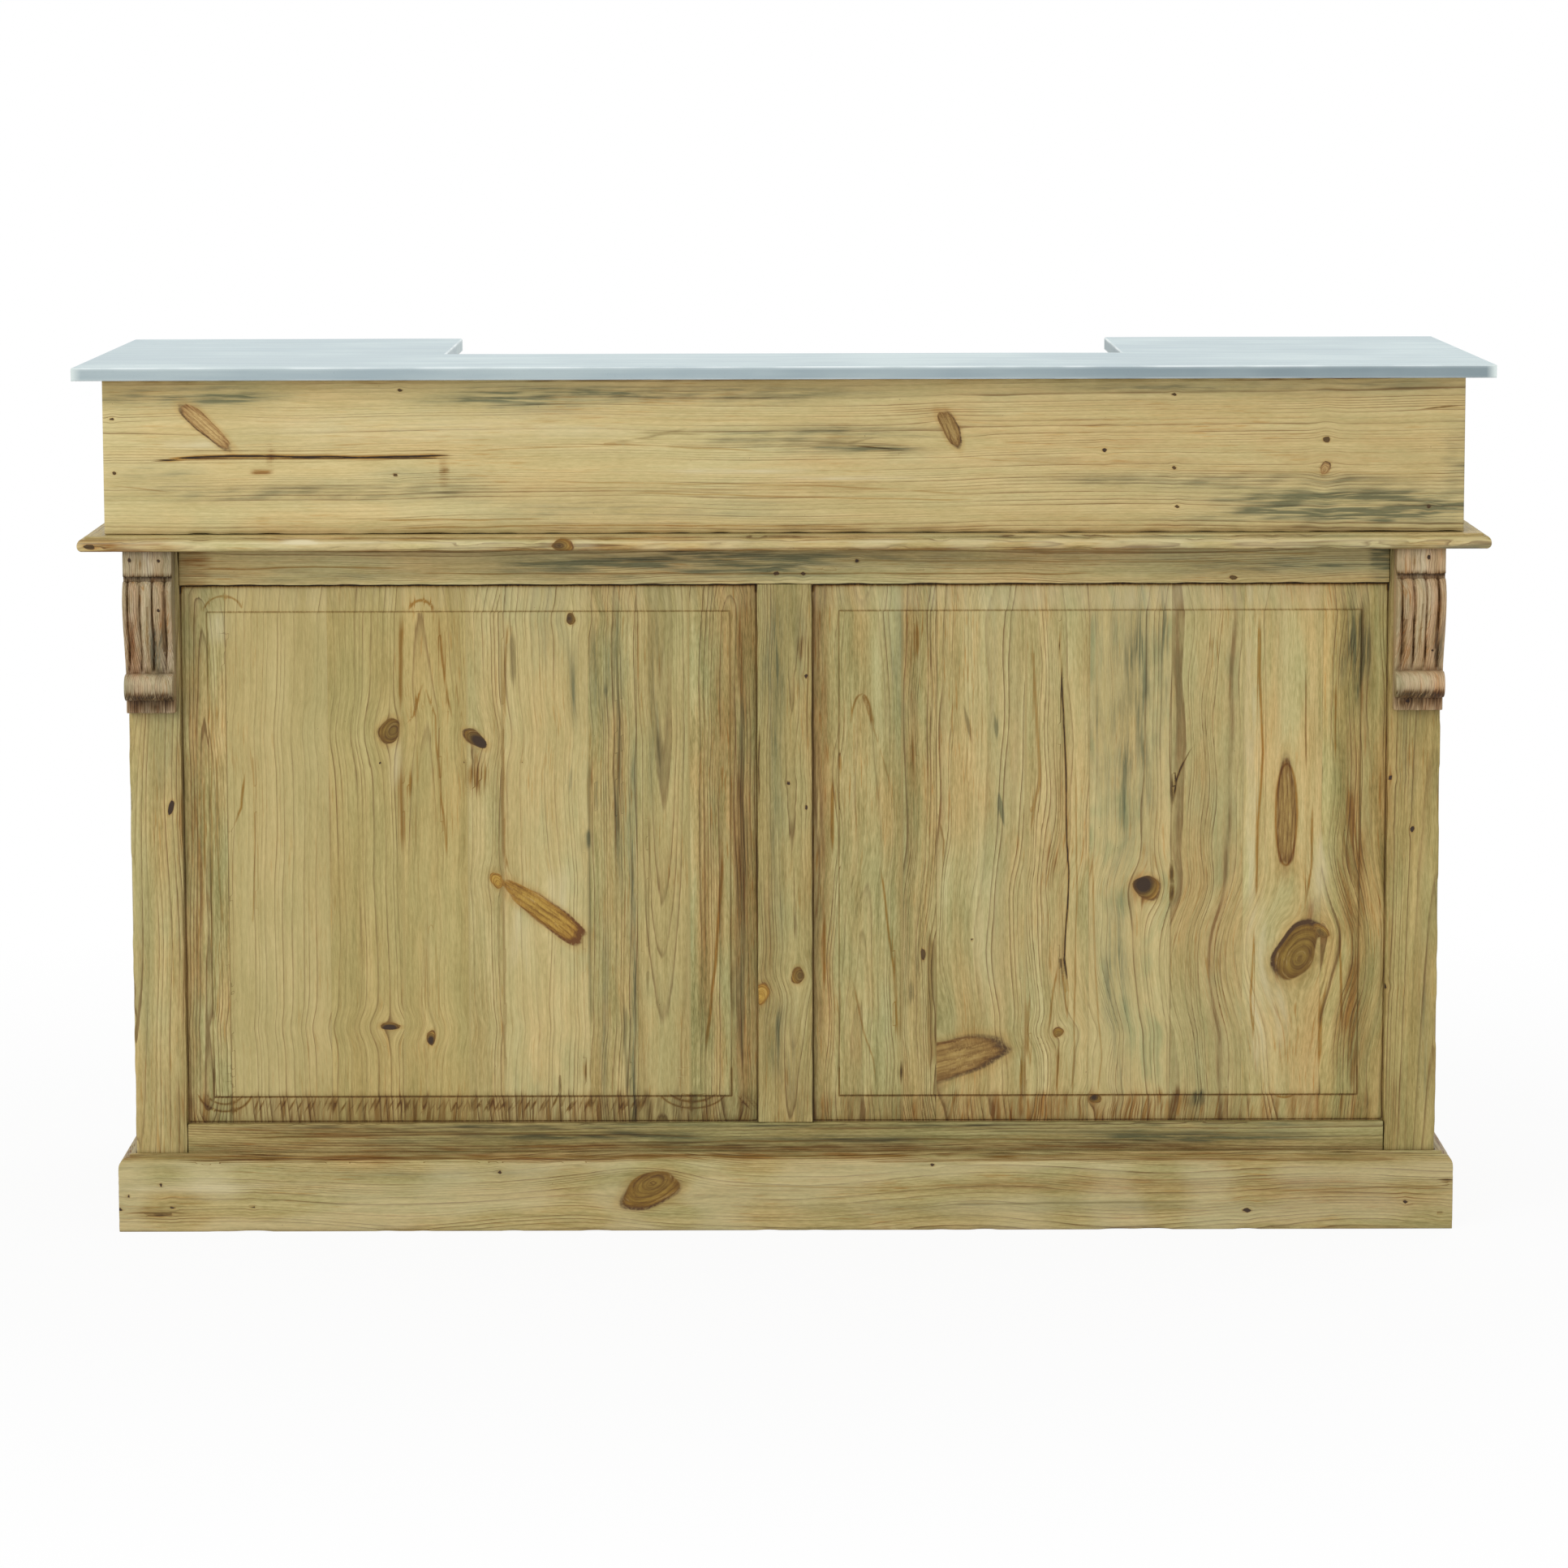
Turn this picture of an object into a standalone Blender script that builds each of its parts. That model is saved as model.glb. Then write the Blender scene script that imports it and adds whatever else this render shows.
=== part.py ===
"""Panelled pine bar counter with a sheet-zinc top.

The customer side faces -Y and the serving side +Y. The origin is on the floor, under the middle of the top.
The top is a U in plan: a strip along the front and a wing at each end, round an open serving bay.
Each wing covers a drawer over a cupboard, and the bay has a lower worktop over an open shelf.
"""

import math

import bmesh
import bpy
from mathutils import Matrix, Vector
from mathutils.geometry import interpolate_bezier

# Clearances
GAP = 0.0003  # between faces that touch on the real counter
PANEL_PLAY = 0.0010  # at a panel's edges, so that the wood can move in its groove
DOOR_GAP = 0.0030  # round a cupboard door
PINTLE_PLAY = 0.0005  # round a door's pintle in its socket
LIFT = 0.0100  # room over the upper pintle, so that a door lifts off
DRAWER_GAP = 0.0025  # round a drawer front
DRAWER_PLAY = 0.0020  # beside a drawer's sides

# Top
TOP_WIDTH = 1.800
TOP_DEPTH = 0.700
HEIGHT = 1.120
ZINC_EDGE = 0.0165  # height of the turned-down edge
ZINC_SHEET = 0.0008
ZINC_BEND = 0.0020  # outside radius of the folded edges
STRIP_DEPTH = 0.304  # front strip, from the front edge to the bay
BAY_WIDTH = 0.890  # clear width of the bay between the wings' edges
FRONT_OVERHANG = 0.0585  # past the posts, at the front and at the ends
REAR_OVERHANG = 0.030
BAY_OVERHANG = 0.018  # past the cheeks, inside the bay

# Frieze box, and the deck that it stands on
FRIEZE_HEIGHT = 0.198
FRIEZE_PROUD = 0.0235  # of the posts' face
FRIEZE_THICK = 0.024
CHEEK_THICK = 0.022
DECK_THICK = 0.0195
CORNICE_PROUD = 0.0556  # nose of the moulding, past the posts' face
CORNICE_WIDTH = 0.070
NOSE_HEIGHT = 0.0075  # of the moulding's foremost point
NOSE_ROUND = 0.0060
FILLET = 0.0032  # small step over the nose

# Front frame
POST = 0.067  # square section of the corner posts
MUNTIN_WIDTH = 0.070
TOP_RAIL = 0.0475
BOTTOM_RAIL = 0.090
BOTTOM_RAIL_SHOWN = 0.0375  # above the plinth
FRAME_THICK = 0.028
REAR_STILE = 0.067  # width of the stile at the back of each end

# Raised panels
GROOVE_DEPTH = 0.009
TONGUE_THICK = 0.007
PANEL_SETBACK = 0.010  # of the bevel's foot behind the frame's face
BEVEL_WIDTH = 0.035
BEVEL_RISE = 0.006
FIELD_STEP = 0.0018  # small shoulder round the field

# Plinth
PLINTH_HEIGHT = 0.1005
PLINTH_PROUD = 0.0214
PLINTH_LEDGE = 0.008  # flat top before the shoulder
PLINTH_SHOULDER = 0.003
TOE_SETBACK = 0.012
TOE_THICK = 0.020

# Corbels
CORBEL_WIDTH = 0.062
CORBEL_HEIGHT = 0.2095
CORBEL_BLOCK = 0.036  # how far the top block stands out
CORBEL_BLOCK_HEIGHT = 0.0330
CORBEL_QUIRK = 0.0055  # depth of the groove under the block
CORBEL_SWELL = 0.033  # reach of the belly's curve past the block
SWELL_DROP = 0.20  # how far down the belly that reach lies, as a share of its height
WAIST_RISE = 0.35  # how far up the belly the waist reaches, as a share of its height
CORBEL_FOOT = 0.019  # how far the foot stands out
CORBEL_FOOT_HEIGHT = 0.0175
SCROLL_RADIUS = 0.017
SCROLL_OUT = 0.010  # of the scroll's centre past the foot's face
FLUTES = 4
FLUTE_RADIUS = 0.0050
FLUTE_DEPTH = 0.0028

# Inside
PARTITION_THICK = 0.022
FLOOR_THICK = 0.020
FLOOR_TONGUE = 0.008  # how far the floor enters the bottom rails
SHELF_THICK = 0.018
SHELF_HEIGHT = 0.460  # top face of the shelf above the ground
SHELF_SETBACK = 0.030  # of its edge from the back
SHELF_HOUSING = 0.006  # how far the shelf enters the partitions

# Doors
DOOR_THICK = 0.021
DOOR_STILE = 0.052
DOOR_RAIL = 0.060
DOOR_BEVEL = 0.026
DOOR_PANEL_SETBACK = 0.008
DOOR_PANEL_RISE = 0.0045
PINTLE_RADIUS = 0.0060
SOCKET_DEPTH = 0.0080

# Drawers
DRAWER_FRONT_THICK = 0.020
DRAWER_SIDE_THICK = 0.012
DRAWER_SIDE_HEIGHT = 0.160
DRAWER_LENGTH = 0.450  # of the sides, behind the front
DRAWER_BOTTOM_THICK = 0.006
DRAWER_BOTTOM_RAISED = 0.010
DRAWER_GROOVE = 0.005

# Knobs
KNOB_RADIUS = 0.016
KNOB_NECK = 0.0075
KNOB_COLLAR = 0.011
KNOB_LENGTH = 0.025
KNOB_STEM = 0.010  # length of the neck and collar
KNOB_COLLAR_HEIGHT = 0.002
KNOB_NECK_LOW = 0.004  # where the collar's slope meets the neck
KNOB_INSET = 0.026  # from a door's free edge

ARRIS = 0.0008  # wear on the edges of the boards
ROUND_STEPS = 24

# Places worked out from the sizes
SIDE_X = TOP_WIDTH / 2 - FRONT_OVERHANG
FRONT_Y = -TOP_DEPTH / 2 + FRONT_OVERHANG
BACK_Y = TOP_DEPTH / 2 - REAR_OVERHANG
TOP_UNDER = HEIGHT - ZINC_EDGE
DECK_TOP = TOP_UNDER - FRIEZE_HEIGHT
DECK_UNDER = DECK_TOP - DECK_THICK
FRAME_BACK = FRONT_Y + FRAME_THICK
FRAME_TOP = DECK_UNDER - GAP
FRIEZE_X = SIDE_X + FRIEZE_PROUD
FRIEZE_Y = FRONT_Y - FRIEZE_PROUD
CHEEK_X = BAY_WIDTH / 2 + BAY_OVERHANG
PARTITION_X = CHEEK_X + PARTITION_THICK
FLOOR_TOP = PLINTH_HEIGHT + FLOOR_THICK
POST_X = SIDE_X - POST
END_INNER_X = SIDE_X - FRAME_THICK
RAIL_LOW = PLINTH_HEIGHT + BOTTOM_RAIL_SHOWN - BOTTOM_RAIL
OPENING_LOW = PLINTH_HEIGHT + BOTTOM_RAIL_SHOWN
OPENING_HIGH = DECK_UNDER - TOP_RAIL
TONGUE = GROOVE_DEPTH - PANEL_PLAY
SIDES = (("left", -1), ("right", 1))

for old in list(bpy.data.objects):
    bpy.data.objects.remove(old)
counter = bpy.data.collections.new("bar_counter")
cutters = bpy.data.collections.new("cutters")
bpy.context.scene.collection.children.link(counter)
bpy.context.scene.collection.children.link(cutters)


def finish(name, colour, roughness, metallic=0.0):
    """A material for each sub-part is made from one of these finishes."""
    return {"name": name, "colour": colour, "roughness": roughness, "metallic": metallic}


PINE = finish("waxed_pine", (0.42, 0.34, 0.17), 0.5)
DARK_PINE = finish("dark_waxed_pine", (0.34, 0.24, 0.15), 0.5)
INNER_PINE = finish("bare_pine", (0.50, 0.40, 0.22), 0.65)
ZINC = finish("sheet_zinc", (0.62, 0.67, 0.70), 0.35, 1.0)


def place(obj, look, parent=None):
    """Puts an object in the counter with its own material, and hangs it on the empty that carries it."""
    counter.objects.link(obj)
    made = bpy.data.materials.new(f"{obj.name}_{look['name']}")
    made.use_nodes = True
    shader = made.node_tree.nodes["Principled BSDF"]
    shader.inputs["Base Color"].default_value = (*look["colour"], 1.0)
    shader.inputs["Roughness"].default_value = look["roughness"]
    shader.inputs["Metallic"].default_value = look["metallic"]
    obj.data.materials.append(made)
    if parent:
        obj.parent = parent
        obj.location -= parent.location
    return obj


def mesh_of(made, name):
    mesh = bpy.data.meshes.new(name)
    made.to_mesh(mesh)
    made.free()
    return mesh


def box_object(name, low, high):
    low = Vector(low)
    high = Vector(high)
    made = bmesh.new()
    bmesh.ops.create_cube(made, size=1.0, matrix=Matrix.Diagonal((*(high - low), 1.0)))
    obj = bpy.data.objects.new(name, mesh_of(made, name))
    obj.location = (low + high) / 2
    return obj


def round_bar(name, radius, x, y, low, high):
    """An upright round bar, for pintles and their sockets."""
    made = bmesh.new()
    bmesh.ops.create_cone(
        made,
        cap_ends=True,
        segments=ROUND_STEPS,
        radius1=radius,
        radius2=radius,
        depth=high - low,
    )
    obj = bpy.data.objects.new(name, mesh_of(made, name))
    obj.location = (x, y, (low + high) / 2)
    return obj


def combine(obj, other, operation):
    """Fuses a helper shape into an object with UNION, or cuts it out with DIFFERENCE."""
    cutters.objects.link(other)
    other.hide_render = True
    other.display_type = "WIRE"
    boolean = obj.modifiers.new(other.name, "BOOLEAN")
    boolean.operation = operation
    boolean.object = other


def round_arrises(obj, width, segments=1):
    bevel = obj.modifiers.new("arrises", "BEVEL")
    bevel.width = width
    bevel.segments = segments
    bevel.limit_method = "ANGLE"
    bevel.angle_limit = math.radians(40)


def board(name, low, high, look=PINE, grooves=(), parent=None):
    """A planed board between two corners, with worn arrises and any grooves cut in it."""
    obj = box_object(name, low, high)
    round_arrises(obj, ARRIS)
    for number, corners in enumerate(grooves):
        combine(obj, box_object(f"{name}_groove_{number}", *corners), "DIFFERENCE")
    return place(obj, look, parent)


def mirrored(side, low, high):
    """Corners of a box given for the right end, mirrored for the left."""
    if side > 0:
        return low, high
    return (-high[0], low[1], low[2]), (-low[0], high[1], high[2])


def outline_mesh(name, points, thickness):
    """A flat outline in XY, filled and given a thickness centred on Z = 0, as a closed mesh."""
    curve = bpy.data.curves.new(name, "CURVE")
    curve.dimensions = "2D"
    curve.fill_mode = "BOTH"
    curve.extrude = thickness / 2
    spline = curve.splines.new("POLY")
    spline.points.add(len(points) - 1)
    for point, (x, y) in zip(spline.points, points):
        point.co = (x, y, 0.0, 1.0)
    spline.use_cyclic_u = True
    return closed_mesh(bpy.data.objects.new(name, curve))


def closed_mesh(curve_object):
    """The evaluated mesh of a curve object, with its loose caps welded on."""
    bpy.context.scene.collection.objects.link(curve_object)
    bpy.context.view_layer.update()
    seen = curve_object.evaluated_get(bpy.context.evaluated_depsgraph_get())
    mesh = bpy.data.meshes.new_from_object(seen)
    made = bmesh.new()
    made.from_mesh(mesh)
    bmesh.ops.remove_doubles(made, verts=made.verts, dist=0.00001)
    bmesh.ops.recalc_face_normals(made, faces=made.faces)
    made.to_mesh(mesh)
    made.free()
    bpy.data.objects.remove(curve_object)
    return mesh


def empty(name, location):
    made = bpy.data.objects.new(name, None)
    made.location = location
    counter.objects.link(made)
    return made


def top_outline(inset):
    """The U of the top in plan, drawn in from its edge by inset all round."""
    x = TOP_WIDTH / 2 - inset
    front = -TOP_DEPTH / 2 + inset
    back = TOP_DEPTH / 2 - inset
    bay_x = BAY_WIDTH / 2 + inset
    bay_front = -TOP_DEPTH / 2 + STRIP_DEPTH - inset
    return [
        (-x, front), (x, front), (x, back), (bay_x, back),
        (bay_x, bay_front), (-bay_x, bay_front), (-bay_x, back), (-x, back),
    ]


def make_top():
    """The board, and the zinc sheet folded down over its edges."""
    core_thick = ZINC_EDGE - ZINC_SHEET - GAP
    mesh = outline_mesh("top_board", top_outline(ZINC_SHEET + GAP), core_thick)
    core = bpy.data.objects.new("top_board", mesh)
    core.location = (0, 0, TOP_UNDER + core_thick / 2)
    round_arrises(core, ZINC_BEND)
    place(core, INNER_PINE)

    mesh = outline_mesh("zinc_cover", top_outline(0.0), ZINC_EDGE)
    sheet = bmesh.new()
    sheet.from_mesh(mesh)
    under = [face for face in sheet.faces if face.normal.z < -0.5]
    bmesh.ops.delete(sheet, geom=under, context="FACES_ONLY")
    bmesh.ops.dissolve_limit(sheet, angle_limit=0.01, verts=sheet.verts, edges=sheet.edges)
    sheet.to_mesh(mesh)
    sheet.free()
    cover = bpy.data.objects.new("zinc_cover", mesh)
    cover.location = (0, 0, HEIGHT - ZINC_EDGE / 2)
    round_arrises(cover, ZINC_BEND, segments=2)
    wall = cover.modifiers.new("sheet", "SOLIDIFY")
    wall.thickness = ZINC_SHEET
    wall.offset = -1.0
    wall.use_even_offset = True
    place(cover, ZINC)


def make_frieze():
    """The box between the deck and the top.

    A front board is nailed over two end boards, and a cheek stands at each side of the bay.
    """
    behind_front = FRIEZE_Y + FRIEZE_THICK + GAP
    low = DECK_TOP + GAP
    high = TOP_UNDER - GAP
    board("frieze_front", (-FRIEZE_X, FRIEZE_Y, low), (FRIEZE_X, behind_front - GAP, high))
    for word, side in SIDES:
        corners = (FRIEZE_X - FRIEZE_THICK, behind_front, low), (FRIEZE_X, BACK_Y, high)
        board(f"frieze_end_{word}", *mirrored(side, *corners))
        corners = (CHEEK_X, behind_front, low), (CHEEK_X + CHEEK_THICK, BACK_Y, high)
        board(f"cheek_{word}", *mirrored(side, *corners), look=INNER_PINE)


def moulding(name, profile, half_length, mitred_start, mitred_end, turn, location):
    """A moulded strip with mitres at 45 degrees. Profile points are (inward from the nose, height)."""
    mesh = outline_mesh(name, profile, 2 * half_length)
    for vertex in mesh.vertices:
        inward, height, along = vertex.co
        if along > 0 and mitred_end:
            along = half_length - inward - GAP
        elif along < 0 and mitred_start:
            along = inward + GAP - half_length
        vertex.co = (along, inward, height)
    obj = bpy.data.objects.new(name, mesh)
    obj.rotation_euler = (0, 0, turn)
    obj.location = location
    return place(obj, PINE)


def quarter(steps, centre, across, up):
    """Points of a quarter ellipse from the top of its rise out to its nose, at x = 0."""
    points = []
    for step in range(1, steps + 1):
        angle = math.pi / 2 * step / steps
        points.append((across * (1 - math.sin(angle)), centre + up * math.cos(angle)))
    return points


def cornice_profile():
    """Thumb moulding: flat top, a small fillet, a convex nose and a flat underside."""
    fillet_low = DECK_THICK - FILLET
    points = [(CORNICE_WIDTH, 0.0), (CORNICE_WIDTH, DECK_THICK), (NOSE_ROUND + FILLET, DECK_THICK)]
    points += [(NOSE_ROUND + FILLET, fillet_low), (NOSE_ROUND, fillet_low)]
    points += quarter(5, NOSE_HEIGHT, NOSE_ROUND, fillet_low - NOSE_HEIGHT)
    under = quarter(4, NOSE_HEIGHT, NOSE_ROUND, -NOSE_HEIGHT)
    points += list(reversed(under[:-1])) + [(NOSE_ROUND, 0.0)]
    return points


def plinth_profile():
    """Skirting: flat top, a small shoulder, then a quarter round down to the face."""
    inner = PLINTH_PROUD - GAP
    radius = PLINTH_PROUD - PLINTH_LEDGE
    shoulder = PLINTH_HEIGHT - PLINTH_SHOULDER
    points = [(inner, 0.0), (inner, PLINTH_HEIGHT), (radius, PLINTH_HEIGHT), (radius, shoulder)]
    points += quarter(6, shoulder - radius, radius, radius)
    points.append((0.0, 0.0))
    return points


def make_mouldings():
    """The nosing round the deck and the skirting: each is a front strip mitred to two returns."""
    for name, profile, proud, low in (
        ("cornice", cornice_profile(), CORNICE_PROUD, DECK_UNDER),
        ("plinth", plinth_profile(), PLINTH_PROUD, 0.0),
    ):
        nose_x = SIDE_X + proud
        nose_y = FRONT_Y - proud
        half_depth = (BACK_Y - nose_y) / 2
        middle_y = (BACK_Y + nose_y) / 2
        quarter_turn = math.pi / 2
        moulding(f"{name}_front", profile, nose_x, True, True, 0.0, (0, nose_y, low))
        place_left = (-nose_x, middle_y, low)
        moulding(f"{name}_left", profile, half_depth, False, True, -quarter_turn, place_left)
        place_right = (nose_x, middle_y, low)
        moulding(f"{name}_right", profile, half_depth, True, False, quarter_turn, place_right)


def panel_slot(low, high, face, inward, setback):
    """The groove round a frame opening, as a cutting box.

    The opening's corners are in the frame's own X and Z. The frame's face looks along -Y or +Y, and
    inward is the way into it, 1 or -1.
    """
    front = face + inward * (setback - GAP)
    back = face + inward * (setback + TONGUE_THICK + GAP)
    return (
        (low[0] - GROOVE_DEPTH, min(front, back), low[1] - GROOVE_DEPTH),
        (high[0] + GROOVE_DEPTH, max(front, back), high[1] + GROOVE_DEPTH),
    )


def raised_panel(name, low, high, location, turn, bevel_width, rise, parent=None):
    """A panel inset step by step: tongue, bevel, a small shoulder, and the raised field.

    low and high are the corners of the frame opening. The field faces -Y before the turn.
    """
    width = high[0] - low[0] + 2 * TONGUE
    height = high[1] - low[1] + 2 * TONGUE
    made = bmesh.new()
    size = Matrix.Diagonal((width, TONGUE_THICK, height, 1.0))
    bmesh.ops.create_cube(made, size=1.0, matrix=size)
    front = [face for face in made.faces if face.normal.y < -0.5]
    for thickness, depth in ((TONGUE, 0.0), (bevel_width, rise), (GAP, FIELD_STEP)):
        bmesh.ops.inset_region(made, faces=front, thickness=thickness, depth=depth, use_even_offset=True)
    obj = bpy.data.objects.new(name, mesh_of(made, name))
    obj.rotation_euler = (0, 0, turn)
    obj.location = location
    return place(obj, PINE, parent)


def floor_groove():
    """The groove that the floor's tongue enters, round the inside of the bottom rails."""
    reach = FLOOR_TONGUE + GAP
    low = (-END_INNER_X - reach, FRAME_BACK - reach, PLINTH_HEIGHT - GAP)
    high = (END_INNER_X + reach, BACK_Y, FLOOR_TOP + GAP)
    return low, high


def make_front():
    """Corner posts, muntin and rails, grooved for two raised panels."""
    half_muntin = MUNTIN_WIDTH / 2
    low = (half_muntin, OPENING_LOW)
    high = (POST_X, OPENING_HIGH)
    slot = panel_slot(low, high, FRONT_Y, 1, PANEL_SETBACK)
    slots = [slot, mirrored(-1, *slot)]
    rail_x = POST_X - GAP
    board("front_top_rail", (-rail_x, FRONT_Y, OPENING_HIGH), (rail_x, FRAME_BACK, FRAME_TOP), grooves=slots)
    board(
        "front_bottom_rail",
        (-rail_x, FRONT_Y, RAIL_LOW),
        (rail_x, FRAME_BACK, OPENING_LOW),
        grooves=slots + [floor_groove()],
    )
    board(
        "front_muntin",
        (-half_muntin, FRONT_Y, OPENING_LOW + GAP),
        (half_muntin, FRAME_BACK, OPENING_HIGH - GAP),
        grooves=slots,
    )
    for word, side in SIDES:
        corners = (POST_X, FRONT_Y, 0.0), (SIDE_X, FRONT_Y + POST, FRAME_TOP)
        grooves = [mirrored(side, *slot), mirrored(side, *end_slot())]
        board(f"front_post_{word}", *mirrored(side, *corners), grooves=grooves)
        middle = (
            side * (low[0] + high[0]) / 2,
            FRONT_Y + PANEL_SETBACK + TONGUE_THICK / 2,
            (low[1] + high[1]) / 2,
        )
        raised_panel(f"front_panel_{word}", low, high, middle, 0.0, BEVEL_WIDTH, BEVEL_RISE)


def end_opening():
    """Corners of the right end's frame opening, as (Y, Z)."""
    low = (FRONT_Y + POST, OPENING_LOW)
    high = (BACK_Y - REAR_STILE, OPENING_HIGH)
    return low, high


def end_slot():
    """The groove round the right end's opening."""
    low, high = end_opening()
    front, back = panel_slot(low, high, SIDE_X, -1, PANEL_SETBACK)
    return (front[1], front[0], front[2]), (back[1], back[0], back[2])


def make_ends():
    """Each end is framed between the corner post and a rear stile, with one raised panel that faces out."""
    low, high = end_opening()
    for word, side in SIDES:
        grooves = [mirrored(side, *end_slot())]
        corners = (END_INNER_X, high[0], 0.0), (SIDE_X, BACK_Y, FRAME_TOP)
        board(f"end_{word}_rear_stile", *mirrored(side, *corners), grooves=grooves)
        corners = (END_INNER_X, low[0] + GAP, OPENING_HIGH), (SIDE_X, high[0] - GAP, FRAME_TOP)
        board(f"end_{word}_top_rail", *mirrored(side, *corners), grooves=grooves)
        corners = (END_INNER_X, low[0] + GAP, RAIL_LOW), (SIDE_X, high[0] - GAP, OPENING_LOW)
        grooves.append(floor_groove())
        board(f"end_{word}_bottom_rail", *mirrored(side, *corners), grooves=grooves)
        middle = (
            side * (SIDE_X - PANEL_SETBACK - TONGUE_THICK / 2),
            (low[0] + high[0]) / 2,
            (low[1] + high[1]) / 2,
        )
        turn = side * math.pi / 2
        raised_panel(f"end_{word}_panel", low, high, middle, turn, BEVEL_WIDTH, BEVEL_RISE)


def corbel_shoulder():
    """Height of the top of the corbel's body, above its foot."""
    return CORBEL_HEIGHT - CORBEL_BLOCK_HEIGHT


def scroll_centre():
    return Vector((CORBEL_FOOT + SCROLL_OUT, CORBEL_FOOT_HEIGHT + SCROLL_RADIUS))


def belly_curve(steps):
    """The S of the body, from under the top block down to the scroll, as (stand-out, height) points."""
    start = Vector((CORBEL_BLOCK, corbel_shoulder() - CORBEL_QUIRK))
    end = Vector((CORBEL_FOOT, scroll_centre().y + SCROLL_RADIUS))
    fall = start.y - end.y
    swell = start + Vector((CORBEL_SWELL, -fall * SWELL_DROP))
    draw_in = end + Vector((SCROLL_OUT, fall * WAIST_RISE))
    return interpolate_bezier(start, swell, draw_in, end, steps)


def corbel_outline():
    """Side view of the corbel: block, quirk, belly, waist, scroll and foot."""
    shoulder = corbel_shoulder()
    quirk_out = CORBEL_BLOCK - CORBEL_QUIRK
    centre = scroll_centre()
    points = [(0.0, 0.0), (0.0, CORBEL_HEIGHT), (CORBEL_BLOCK, CORBEL_HEIGHT)]
    points += [(CORBEL_BLOCK, shoulder), (quirk_out, shoulder), (quirk_out, shoulder - CORBEL_QUIRK)]
    points += [tuple(point) for point in belly_curve(14)]
    for step in range(11):
        angle = math.pi / 2 - math.pi * step / 10
        points.append(
            (centre.x + SCROLL_RADIUS * math.cos(angle), centre.y + SCROLL_RADIUS * math.sin(angle))
        )
    points += [(CORBEL_FOOT, CORBEL_FOOT_HEIGHT), (CORBEL_FOOT, 0.0)]
    return points


def flute_cutter(name, x, foot, face):
    """A round bar that follows the belly from outside, so that it scoops one flute."""
    path = [
        Vector((x, face - out - FLUTE_RADIUS + FLUTE_DEPTH, foot + height))
        for out, height in belly_curve(12)[1:-2]
    ]
    curve = bpy.data.curves.new(name, "CURVE")
    curve.dimensions = "3D"
    curve.bevel_depth = FLUTE_RADIUS
    curve.bevel_resolution = 2
    curve.use_fill_caps = True
    spline = curve.splines.new("POLY")
    spline.points.add(len(path) - 1)
    for point, co in zip(spline.points, path):
        point.co = (*co, 1.0)
    return bpy.data.objects.new(name, closed_mesh(bpy.data.objects.new(name, curve)))


def make_corbels():
    """Sawn and fluted brackets at the head of the corner posts, under the cornice."""
    foot = FRAME_TOP - CORBEL_HEIGHT
    face = FRONT_Y - GAP
    pitch = CORBEL_WIDTH / FLUTES
    for word, side in SIDES:
        middle = side * (SIDE_X - CORBEL_WIDTH / 2)
        mesh = outline_mesh(f"corbel_{word}", corbel_outline(), CORBEL_WIDTH)
        for vertex in mesh.vertices:
            out, height, across = vertex.co
            vertex.co = (across, -out, height)
        mesh.flip_normals()
        obj = bpy.data.objects.new(f"corbel_{word}", mesh)
        obj.location = (middle, face, foot)
        for number in range(FLUTES):
            x = middle + pitch * (number - (FLUTES - 1) / 2)
            combine(obj, flute_cutter(f"corbel_{word}_flute_{number}", x, foot, face), "DIFFERENCE")
        place(obj, DARK_PINE)


def pintle_place():
    """Where the right door turns: the middle of its hinge stile's rounded edge."""
    radius = DOOR_THICK / 2
    return END_INNER_X - DOOR_GAP - radius, BACK_Y - radius


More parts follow.
